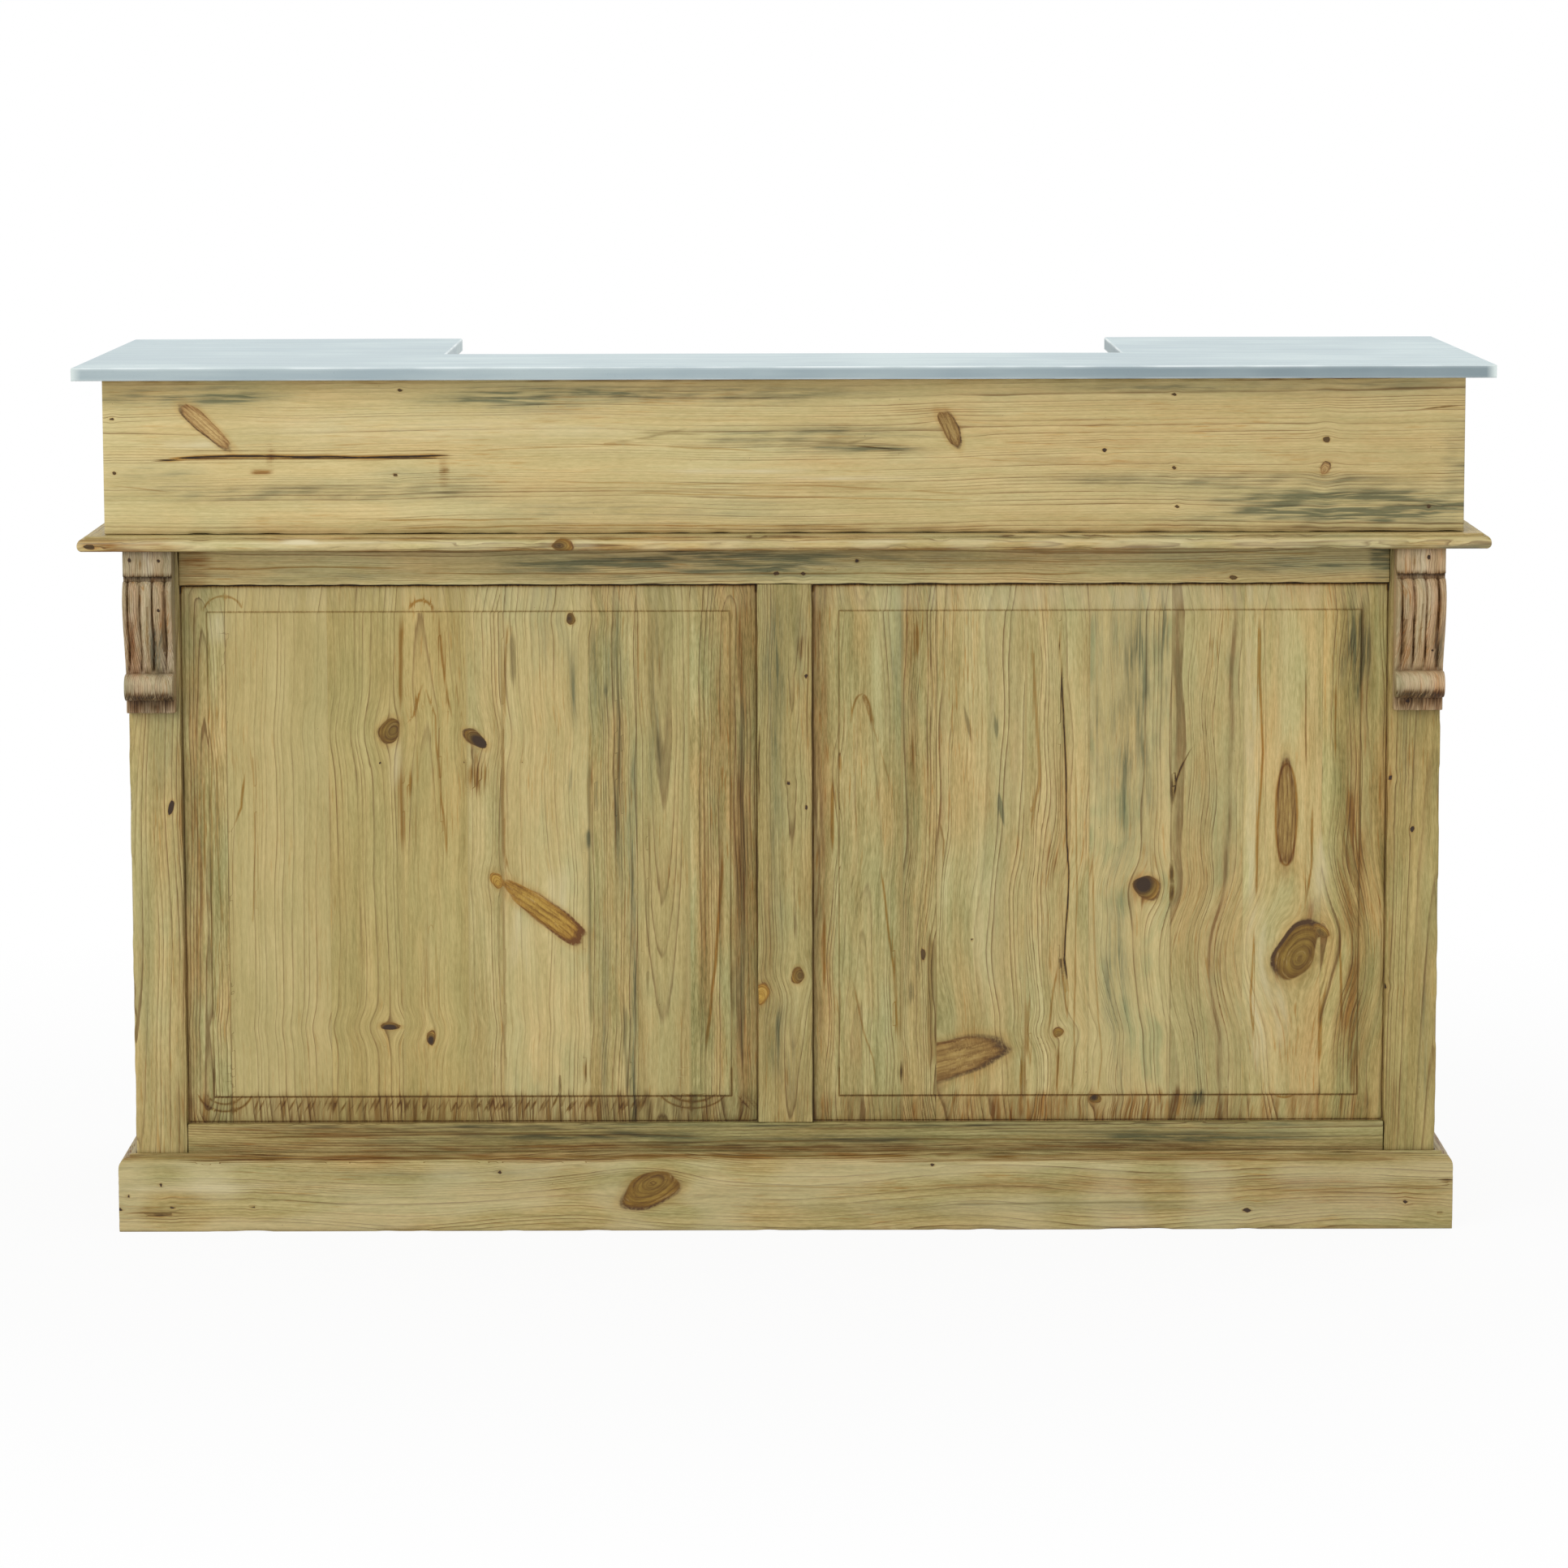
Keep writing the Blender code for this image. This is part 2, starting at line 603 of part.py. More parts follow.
def make_inside():
    """Deck, floor, partitions, the bay's shelf and the toe board at the back."""
    deck_x = SIDE_X + CORNICE_PROUD - CORNICE_WIDTH - GAP
    deck_front = FRONT_Y - CORNICE_PROUD + CORNICE_WIDTH + GAP
    deck = board(
        "deck_board", (-deck_x, deck_front, DECK_UNDER), (deck_x, BACK_Y, DECK_TOP), look=INNER_PINE
    )
    floor_x = END_INNER_X + FLOOR_TONGUE
    floor_front = FRAME_BACK - FLOOR_TONGUE
    notches = []
    for _, side in SIDES:
        corner = (POST_X - GAP, floor_front - GAP, 0.0), (SIDE_X, FRONT_Y + POST + GAP, FLOOR_TOP + GAP)
        notches.append(mirrored(side, *corner))
        rear = BACK_Y - REAR_STILE - GAP
        corner = (END_INNER_X - GAP, rear, 0.0), (SIDE_X, BACK_Y + GAP, FLOOR_TOP + GAP)
        notches.append(mirrored(side, *corner))
    floor = board(
        "floor_board",
        (-floor_x, floor_front, PLINTH_HEIGHT),
        (floor_x, BACK_Y, FLOOR_TOP),
        look=INNER_PINE,
        grooves=notches,
    )
    x, y = pintle_place()
    radius = PINTLE_RADIUS + PINTLE_PLAY
    for word, side in SIDES:
        foot = FLOOR_TOP - SOCKET_DEPTH
        socket = round_bar(f"socket_low_{word}", radius, side * x, y, foot, FLOOR_TOP + GAP)
        combine(floor, socket, "DIFFERENCE")
        head = DECK_UNDER + SOCKET_DEPTH + LIFT - DOOR_GAP
        socket = round_bar(f"socket_high_{word}", radius, side * x, y, DECK_UNDER - GAP, head)
        combine(deck, socket, "DIFFERENCE")
    toe_back = BACK_Y - TOE_SETBACK
    toe_x = END_INNER_X - GAP
    board(
        "plinth_back",
        (-toe_x, toe_back - TOE_THICK, 0.0),
        (toe_x, toe_back, PLINTH_HEIGHT - GAP),
        look=INNER_PINE,
    )
    inner_front = FRAME_BACK + GAP
    shelf_low = SHELF_HEIGHT - SHELF_THICK
    shelf_back = BACK_Y - SHELF_SETBACK
    reach = CHEEK_X + SHELF_HOUSING
    housing = (
        (-reach - GAP, inner_front - GAP, shelf_low - GAP),
        (reach + GAP, shelf_back + GAP, SHELF_HEIGHT + GAP),
    )
    board(
        "shelf_centre",
        (-reach, inner_front, shelf_low),
        (reach, shelf_back, SHELF_HEIGHT),
        look=INNER_PINE,
    )
    for word, side in SIDES:
        corners = (CHEEK_X, inner_front, FLOOR_TOP + GAP), (PARTITION_X, BACK_Y, FRAME_TOP)
        board(f"partition_{word}", *mirrored(side, *corners), look=INNER_PINE, grooves=[housing])


def knob(name, x, z, parent):
    """A turned knob on a face that looks along +Y: a flattened ball on a neck with a collar."""
    half = (KNOB_LENGTH - KNOB_STEM) / 2
    outline = [(0.0, KNOB_LENGTH)]
    for step in range(1, 8):
        angle = math.pi / 2 - math.pi * step / 8
        outline.append((KNOB_RADIUS * math.cos(angle), KNOB_STEM + half + half * math.sin(angle)))
    outline += [(KNOB_NECK, KNOB_STEM), (KNOB_NECK, KNOB_NECK_LOW), (KNOB_COLLAR, KNOB_COLLAR_HEIGHT)]
    outline += [(KNOB_COLLAR, 0.0), (0.0, 0.0)]
    mesh = bpy.data.meshes.new(name)
    edges = [(i, i + 1) for i in range(len(outline) - 1)]
    mesh.from_pydata([(radius, 0.0, height) for radius, height in outline], edges, [])
    obj = bpy.data.objects.new(name, mesh)
    screw = obj.modifiers.new("turned", "SCREW")
    screw.steps = ROUND_STEPS
    screw.render_steps = ROUND_STEPS
    screw.use_merge_vertices = True
    screw.merge_threshold = 0.0001
    screw.use_smooth_shade = True
    obj.rotation_euler = (-math.pi / 2, 0, 0)
    obj.location = (x, BACK_Y + GAP, z)
    return place(obj, PINE, parent)


def make_drawers():
    """A drawer in each wing, which runs on the deck between the cheek and the frieze end."""
    bay_low = CHEEK_X + CHEEK_THICK
    bay_high = FRIEZE_X - FRIEZE_THICK
    middle = (bay_low + bay_high) / 2
    front_back = BACK_Y - DRAWER_FRONT_THICK
    sides_front = front_back - GAP
    sides_back = sides_front - DRAWER_LENGTH
    low = DECK_TOP + GAP
    inner_low_x = bay_low + DRAWER_PLAY + DRAWER_SIDE_THICK
    inner_high_x = bay_high - DRAWER_PLAY - DRAWER_SIDE_THICK
    bottom_low = low + DRAWER_BOTTOM_RAISED
    bottom_high = bottom_low + DRAWER_BOTTOM_THICK
    side_top = low + DRAWER_SIDE_HEIGHT
    groove = (
        (inner_low_x - DRAWER_GROOVE, sides_back - GAP, bottom_low - GAP),
        (inner_high_x + DRAWER_GROOVE, sides_front + DRAWER_GROOVE, bottom_high + GAP),
    )
    for word, side in SIDES:
        carrier = empty(f"drawer_{word}", (side * middle, BACK_Y, low))
        grooves = [mirrored(side, *groove)]
        corners = (
            (bay_low + DRAWER_GAP, front_back, DECK_TOP + DRAWER_GAP),
            (bay_high - DRAWER_GAP, BACK_Y, TOP_UNDER - DRAWER_GAP),
        )
        board(f"drawer_{word}_front", *mirrored(side, *corners), grooves=grooves, parent=carrier)
        for place_word, x in (("inner", inner_low_x - DRAWER_SIDE_THICK), ("outer", inner_high_x)):
            corners = (x, sides_back, low), (x + DRAWER_SIDE_THICK, sides_front, side_top)
            board(
                f"drawer_{word}_{place_word}_side",
                *mirrored(side, *corners),
                look=INNER_PINE,
                grooves=grooves,
                parent=carrier,
            )
        corners = (
            (inner_low_x + GAP, sides_back, bottom_high + GAP),
            (inner_high_x - GAP, sides_back + DRAWER_SIDE_THICK, side_top),
        )
        board(f"drawer_{word}_back", *mirrored(side, *corners), look=INNER_PINE, parent=carrier)
        reach = DRAWER_GROOVE - PANEL_PLAY
        corners = (
            (inner_low_x - reach, sides_back, bottom_low),
            (inner_high_x + reach, sides_front + reach, bottom_high),
        )
        board(f"drawer_{word}_bottom", *mirrored(side, *corners), look=INNER_PINE, parent=carrier)
        knob(f"drawer_{word}_knob", side * middle, (DECK_TOP + TOP_UNDER) / 2, carrier)


def hinge_stile(name, side, low, high, groove, carrier):
    """A door stile with a half-round edge and a pintle at each end, all one piece of wood."""
    x, y = pintle_place()
    radius = DOOR_THICK / 2
    inner_x = END_INNER_X - DOOR_GAP - DOOR_STILE
    outline = [(inner_x, y + radius), (inner_x, y - radius)]
    for step in range(13):
        angle = -math.pi / 2 + math.pi * step / 12
        outline.append((x + radius * math.cos(angle), y + radius * math.sin(angle)))
    mesh = outline_mesh(name, [(side * px, py) for px, py in outline], high - low)
    obj = bpy.data.objects.new(name, mesh)
    obj.location = (0, 0, (low + high) / 2)
    depth = SOCKET_DEPTH - GAP
    bar_low = low - DOOR_GAP - depth
    bar_high = high + DOOR_GAP + depth
    combine(obj, round_bar(f"{name}_pintles", PINTLE_RADIUS, side * x, y, bar_low, bar_high), "UNION")
    combine(obj, box_object(f"{name}_groove", *groove), "DIFFERENCE")
    place(obj, PINE, carrier)


def make_doors():
    """A framed door with a raised panel under each wing, inset between the end and the partition."""
    x, y = pintle_place()
    outer_x = END_INNER_X - DOOR_GAP
    free_x = PARTITION_X + DOOR_GAP
    low_z = FLOOR_TOP + DOOR_GAP
    high_z = DECK_UNDER - DOOR_GAP
    back = BACK_Y - DOOR_THICK
    low = (free_x + DOOR_STILE, low_z + DOOR_RAIL)
    high = (outer_x - DOOR_STILE, high_z - DOOR_RAIL)
    slot = panel_slot(low, high, BACK_Y, -1, DOOR_PANEL_SETBACK)
    for word, side in SIDES:
        carrier = empty(f"door_{word}", (side * x, y, low_z))
        groove = mirrored(side, *slot)
        members = {
            "free_stile": ((free_x, back, low_z), (low[0], BACK_Y, high_z)),
            "bottom_rail": ((low[0] + GAP, back, low_z), (high[0] - GAP, BACK_Y, low[1])),
            "top_rail": ((low[0] + GAP, back, high[1]), (high[0] - GAP, BACK_Y, high_z)),
        }
        for member, corners in members.items():
            board(f"door_{word}_{member}", *mirrored(side, *corners), grooves=[groove], parent=carrier)
        hinge_stile(f"door_{word}_hinge_stile", side, low_z, high_z, groove, carrier)
        middle = (
            side * (low[0] + high[0]) / 2,
            BACK_Y - DOOR_PANEL_SETBACK - TONGUE_THICK / 2,
            (low[1] + high[1]) / 2,
        )
        name = f"door_{word}_panel"
        raised_panel(name, low, high, middle, math.pi, DOOR_BEVEL, DOOR_PANEL_RISE, carrier)
        knob(f"door_{word}_knob", side * (free_x + KNOB_INSET), (low_z + high_z) / 2, carrier)


make_top()
make_frieze()
make_mouldings()
make_front()
make_ends()
make_corbels()
make_inside()
make_drawers()
make_doors()
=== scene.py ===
"""Looks of a panelled pine bar counter with a sheet-zinc top, built round its CAD frame.

Metres, +Z up, the customer side faces -Y. Every piece takes its size and place from the CAD node it
stands for.
"""

import math

import bpy
import numpy as np
from mathutils import Matrix, Vector


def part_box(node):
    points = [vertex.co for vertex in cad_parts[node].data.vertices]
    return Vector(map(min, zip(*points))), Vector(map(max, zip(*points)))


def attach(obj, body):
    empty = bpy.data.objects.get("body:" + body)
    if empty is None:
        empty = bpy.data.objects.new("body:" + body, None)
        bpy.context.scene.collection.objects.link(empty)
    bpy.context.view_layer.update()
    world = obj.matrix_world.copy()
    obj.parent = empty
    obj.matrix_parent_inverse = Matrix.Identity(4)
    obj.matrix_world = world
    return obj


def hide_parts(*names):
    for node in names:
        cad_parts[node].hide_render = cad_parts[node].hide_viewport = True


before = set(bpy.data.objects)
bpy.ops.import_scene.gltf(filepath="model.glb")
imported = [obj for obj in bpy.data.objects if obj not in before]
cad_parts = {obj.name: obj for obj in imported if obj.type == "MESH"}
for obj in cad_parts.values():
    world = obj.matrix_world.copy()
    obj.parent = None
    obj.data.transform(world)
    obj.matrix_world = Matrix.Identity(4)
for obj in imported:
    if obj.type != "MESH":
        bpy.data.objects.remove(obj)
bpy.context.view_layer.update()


# The room. A photographer's white cove: a floor that runs out of sight, soft daylight from all sides, a
# large lamp high in front, a little to the left, and a weaker one behind. The camera stands over seven
# metres away at eye height, with a long lens.

CAMERA_PLACE = Vector((-0.0052, -7.2979, 1.5129))
CAMERA_PITCH = 0.1323
CAMERA_YAW = 0.0006
CAMERA_ROLL = -0.0024
FOCAL_LENGTH = 126.31
SENSOR = 36.0
DAYLIGHT = 0.70
LAMP_SIZE = 5.5
LAMPS = (("front_lamp", (-3.4, -6.0, 4.0), 245.0), ("rear_lamp", (3.4, 6.0, 4.0), 130.0))
LAMPS_AIM = Vector((0.0, 0.0, 0.5))
FLOOR_REACH = 30.0
SHADOW_REACH = 1.2
FLOOR_WHITENING = 0.92
WHITE = (1.0, 1.0, 1.0, 1.0)
PALE = (0.80, 0.80, 0.80, 1.0)


def add_node(tree, kind, inputs=(), output=0, **settings):
    """Adds a shader node, sets its options, and fills its sockets in order from links or plain values."""
    made = tree.nodes.new(kind)
    for key, value in settings.items():
        setattr(made, key, value)
    pairs = inputs.items() if isinstance(inputs, dict) else enumerate(inputs)
    for key, value in pairs:
        if isinstance(value, bpy.types.NodeSocket):
            tree.links.new(value, made.inputs[key])
        elif value is not None:
            made.inputs[key].default_value = value
    return made.outputs[output] if made.outputs else None


def tools(tree):
    """Short calls that add to a node tree: maths, a smooth step from low to high, a colour laid over
    another one or multiplied into it, and a field's three numbers."""

    def maths(operation, *inputs, clamp=False):
        return add_node(tree, "ShaderNodeMath", inputs, operation=operation, use_clamp=clamp)

    def fade(value, start, end, low=0.0, high=1.0):
        inputs = (value, start, end, low, high)
        return add_node(tree, "ShaderNodeMapRange", inputs, interpolation_type="SMOOTHSTEP")

    def blend(mode, factor, under, over):
        under, over = ((*colour, 1.0) if isinstance(colour, tuple) else colour for colour in (under, over))
        settings = {"data_type": "RGBA", "blend_type": mode, "clamp_factor": True}
        return add_node(tree, "ShaderNodeMix", {0: factor, 6: under, 7: over}, output=2, **settings)

    def field(key):
        vector = add_node(tree, "ShaderNodeAttribute", attribute_name=key, output=1)
        split = tree.nodes.new("ShaderNodeSeparateXYZ")
        tree.links.new(vector, split.inputs[0])
        return split.outputs

    return maths, fade, blend, field


def empty_tree(owner):
    """The node tree of a material or a world, with nothing in it."""
    owner.use_nodes = True
    owner.node_tree.nodes.clear()
    return owner.node_tree


def looked_at(tree):
    """1 for a ray from the camera, from a gloss or through glass, and 0 for light on its way."""
    path = tree.nodes.new("ShaderNodeLightPath").outputs
    maths = tools(tree)[0]
    seen = maths("MAXIMUM", path["Is Camera Ray"], path["Is Glossy Ray"])
    return maths("MAXIMUM", seen, path["Is Transmission Ray"])


def set_up_camera():
    """Turned by yaw, then pitch, then a slight roll about the line of sight."""
    level = math.cos(CAMERA_PITCH)
    sideways, forwards = math.sin(CAMERA_YAW) * level, math.cos(CAMERA_YAW) * level
    ahead = Vector((sideways, forwards, -math.sin(CAMERA_PITCH)))
    right = ahead.cross(Vector((0.0, 0.0, 1.0))).normalized()
    up = right.cross(ahead)
    turned_right = right * math.cos(CAMERA_ROLL) + up * math.sin(CAMERA_ROLL)
    turned_up = up * math.cos(CAMERA_ROLL) - right * math.sin(CAMERA_ROLL)
    turn = Matrix((turned_right, turned_up, -ahead)).transposed().to_4x4()
    camera = bpy.data.objects.new("camera", bpy.data.cameras.new("camera"))
    camera.data.lens = FOCAL_LENGTH
    camera.data.sensor_width = SENSOR
    camera.matrix_world = Matrix.Translation(CAMERA_PLACE) @ turn
    bpy.context.scene.collection.objects.link(camera)
    bpy.context.scene.camera = camera


def set_up_light():
    """Surroundings that are white where the camera, a gloss or glass looks into them and plain daylight
    for everything else, and two large soft lamps that glossy metal doesn't mirror."""
    world = bpy.data.worlds.new("daylight")
    bpy.context.scene.world = world
    tree = empty_tree(world)
    daylight = add_node(tree, "ShaderNodeBackground", (WHITE, DAYLIGHT))
    cove = add_node(tree, "ShaderNodeBackground", (WHITE, 1.0))
    both = add_node(tree, "ShaderNodeMixShader", (looked_at(tree), daylight, cove))
    add_node(tree, "ShaderNodeOutputWorld", (both,))
    for name, place, power in LAMPS:
        light = bpy.data.lights.new(name, "AREA")
        light.size = LAMP_SIZE
        light.energy = power
        lamp = bpy.data.objects.new(name, light)
        lamp.visible_glossy = False
        lamp.location = place
        lamp.rotation_euler = (LAMPS_AIM - lamp.location).to_track_quat("-Z", "Y").to_euler()
        bpy.context.scene.collection.objects.link(lamp)


def lay_floor():
    """A flat sheet that keeps the counter's soft shadow, and is lifted to white only where it is seen."""
    mesh = bpy.data.meshes.new("floor")
    r = FLOOR_REACH
    mesh.from_pydata([(-r, -r, 0), (r, -r, 0), (r, r, 0), (-r, r, 0)], [], [(0, 1, 2, 3)])
    floor = bpy.data.objects.new("floor", mesh)
    bpy.context.scene.collection.objects.link(floor)
    made = bpy.data.materials.new("white_cove")
    tree = empty_tree(made)
    place = tree.nodes.new("ShaderNodeTexCoord").outputs["Object"]
    away = add_node(tree, "ShaderNodeVectorMath", (place,), output=1, operation="LENGTH")
    inputs = (away, SHADOW_REACH, 2 * SHADOW_REACH, FLOOR_WHITENING, 1.0)
    clear = add_node(tree, "ShaderNodeMapRange", inputs)
    clear = tools(tree)[0]("MULTIPLY", clear, looked_at(tree))
    paint = add_node(tree, "ShaderNodeBsdfDiffuse", (PALE,))
    glow = add_node(tree, "ShaderNodeEmission", (WHITE, 1.0))
    both = add_node(tree, "ShaderNodeMixShader", (clear, paint, glow))
    add_node(tree, "ShaderNodeOutputMaterial", (both,))
    mesh.materials.append(made)


bpy.context.scene.view_settings.view_transform = "Standard"
set_up_camera()
set_up_light()
lay_floor()


# The frieze: one wide pine board across the front, nailed over a board at each end. It is old wood,
# planed, waxed and stained grey in streaks, with two long spike knots and a reddish shake along it.

GRAIN_STEP = 0.004
HIDDEN_STEP = 0.006
EASED_STEPS = np.array([0.0, 0.25, 0.5, 0.75, 1.0])
INNER_RADIUS = 0.0003
SHARP_ANGLE = math.radians(38)
LINE_REACH = 0.004
WAVES = 8
WAVES_HEIGHT = 3.2


def facing(out, run):
    """Directions along the grain, across it and into the board, as the rows of a matrix."""
    unit = dict(zip("xyz", np.eye(3)))
    depth = -unit[out[1]] if out[0] == "+" else unit[out[1]]
    across = unit[next(axis for axis in "xyz" if axis not in (out[1], run))]
    return np.stack([unit[run], across, depth])


def lie(node, out, run, box=None):
    """How a board lies in its box: the low and the high corner as (along, across, through), the matrix
    that turns such places into x, y and z, the place of its face, and a seed from its name."""
    low, high = (np.array(corner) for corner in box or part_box(node))
    ways = facing(out, run)
    index = [int(np.argmax(np.abs(way))) for way in ways]
    origin = np.zeros(3)
    origin[index[2]] = (high if out[0] == "+" else low)[index[2]]
    return low[index], high[index], ways, origin, sum(map(ord, node))


def drift(seed, length, *where):
    """Smooth noise within about -1 to 1: the sum of eight sine waves, each about `length` long, whose
    directions and phases are drawn from the seed."""
    draw = np.random.default_rng(seed)
    total = 0.0
    for _ in range(WAVES):
        way = draw.normal(size=len(where))
        way *= 2 * math.pi / (length * draw.uniform(0.6, 1.7) * np.linalg.norm(way))
        phase = draw.uniform(0, 2 * math.pi)
        total = total + np.sin(sum(k * x for k, x in zip(way, where)) + phase)
    return total / WAVES_HEIGHT


def eased(corners, radius, steps):
    """A closed outline: at each corner a quadratic curve from one radius before it to one radius after,
    and between two corners a straight run cut into equal steps. Also gives 1 on the curves, 0 elsewhere."""
    corners = np.asarray(corners, float)
    radii = np.broadcast_to(radius, len(corners))
    runs = np.roll(corners, -1, axis=0) - corners
    lengths = np.linalg.norm(runs, axis=1)
    ways = runs / lengths[:, None]
    radii = np.minimum(radii, 0.45 * np.minimum(lengths, np.roll(lengths, 1)))
    points = []
    worn = []
    t = EASED_STEPS[:, None]
    for i, corner in enumerate(corners):
        points.append(corner + radii[i] * (t**2 * ways[i] - (1 - t) ** 2 * ways[i - 1]))
        worn.append(np.ones(len(t)))
        after = (i + 1) % len(corners)
        start = corner + radii[i] * ways[i]
        end = corners[after] - radii[after] * ways[i]
        count = max(1, round(float(np.linalg.norm(end - start)) / steps[i]))
        share = np.arange(1, count)[:, None] / count
        points.append(start + (end - start) * share)
        worn.append(np.zeros(count - 1))
    return np.concatenate(points), np.concatenate(worn)


def outward(outline):
    """The unit normal at each point of a closed outline, away from its inside."""
    tangent = np.roll(outline, -1, axis=0) - np.roll(outline, 1, axis=0)
    normal = np.stack([tangent[:, 1], -tangent[:, 0]], axis=1)
    normal /= np.maximum(np.linalg.norm(normal, axis=1, keepdims=True), 1e-9)
    x, y = outline.T
    turn = np.sum(x * np.roll(y, -1) - y * np.roll(x, -1))
    return normal * np.sign(turn)


def stations(low, high, step, ease):
    """Places along a board, close together at its eased ends, and how far the outline draws in at each."""
    rise = ease * np.array([0.0, 0.12, 0.45, 1.0])
    count = max(1, round((high - low - 2 * ease) / step))
    middle = np.linspace(low + ease, high - ease, count + 1)[1:-1]
    places = np.concatenate([low + rise, middle, high - rise[::-1]])
    draw_in = ease - np.sqrt(np.maximum(ease**2 - (ease - rise) ** 2, 0.0))
    inset = np.concatenate([draw_in, np.zeros(len(middle)), draw_in[::-1]])
    return places, inset


def build_mesh(name, points, loops, counts, fields):
    """A smooth-shaded object from the corner numbers of its faces laid end to end, how many corners each
    face has, and fields of three numbers a point."""
    mesh = bpy.data.meshes.new(name)
    mesh.vertices.add(len(points))
    mesh.vertices.foreach_set("co", points.astype(np.float32).ravel())
    mesh.loops.add(len(loops))
    mesh.loops.foreach_set("vertex_index", loops.astype(np.int32))
    mesh.polygons.add(len(counts))
    mesh.polygons.foreach_set("loop_start", (np.cumsum(counts) - counts).astype(np.int32))
    for key, value in fields.items():
        made = mesh.attributes.new(key, "FLOAT_VECTOR", "POINT")
        made.data.foreach_set("vector", np.stack(value, axis=-1).astype(np.float32).ravel())
    mesh.update(calc_edges=True)
    mesh.polygons.foreach_set("use_smooth", np.ones(len(counts), bool))
    made = bpy.data.objects.new(name, mesh)
    bpy.context.scene.collection.objects.link(made)
    return made


def put_skin(name, points, fields):
    """A closed skin over a grid of points (stations, outline): four-sided faces between neighbours, the
    outline joined to itself and a cap at each end, all turned outwards by the sign of its volume."""
    rows, columns = points.shape[:2]
    index = np.arange(rows * columns).reshape(rows, columns)
    beside = np.roll(index, -1, axis=1)
    quads = np.stack([index[:-1], beside[:-1], beside[1:], index[1:]], axis=-1).reshape(-1, 4)
    ends = [index[0, ::-1], index[-1]]
    flat = points.reshape(-1, 3)
    corner = flat[quads]
    volume = np.einsum("ij,ij->i", corner[:, 0], np.cross(corner[:, 1], corner[:, 2])).sum()
    volume += np.einsum("ij,ij->i", corner[:, 0], np.cross(corner[:, 2], corner[:, 3])).sum()
    for end in ends:
        fan = flat[end]
        volume += np.einsum("j,ij->i", fan[0], np.cross(fan[1:-1], fan[2:])).sum()
    if volume < 0:
        quads = quads[:, ::-1]
        ends = [end[::-1] for end in ends]
    loops = np.concatenate([quads.ravel(), *ends])
    counts = np.concatenate([np.full(len(quads), 4), [len(end) for end in ends]]).astype(int)
    made = build_mesh(name, flat, loops, counts, fields)
    made.data.set_sharp_from_angle(angle=SHARP_ANGLE)
    return made


def oval(a, c, at, size, tilt):
    """Distances along an oval's long and short axes, in units of its own half length and half width. The
    tilt turns the long axis off the grain."""
    turn = math.radians(tilt)
    p = (a - at[0]) * math.cos(turn) + (c - at[1]) * math.sin(turn)
    q = (c - at[1]) * math.cos(turn) - (a - at[0]) * math.sin(turn)
    return p / size[0], q / size[1]


def multiplied(marks, flat):
    """Signed distances flattened a few millimetres away and multiplied, so that the sign turns only on a
    line, and the strength and blackness of the line that counts most at each point."""
    apart, strength, black = flat + LINE_REACH, flat, flat
    for off, strong, dark in marks:
        apart = apart * np.tanh(off / LINE_REACH)
        window = strong * np.exp(-((off / (2 * LINE_REACH)) ** 2))
        black = np.where(window > strength, dark, black)
        strength = np.maximum(strength, window)
    return apart, strength, black


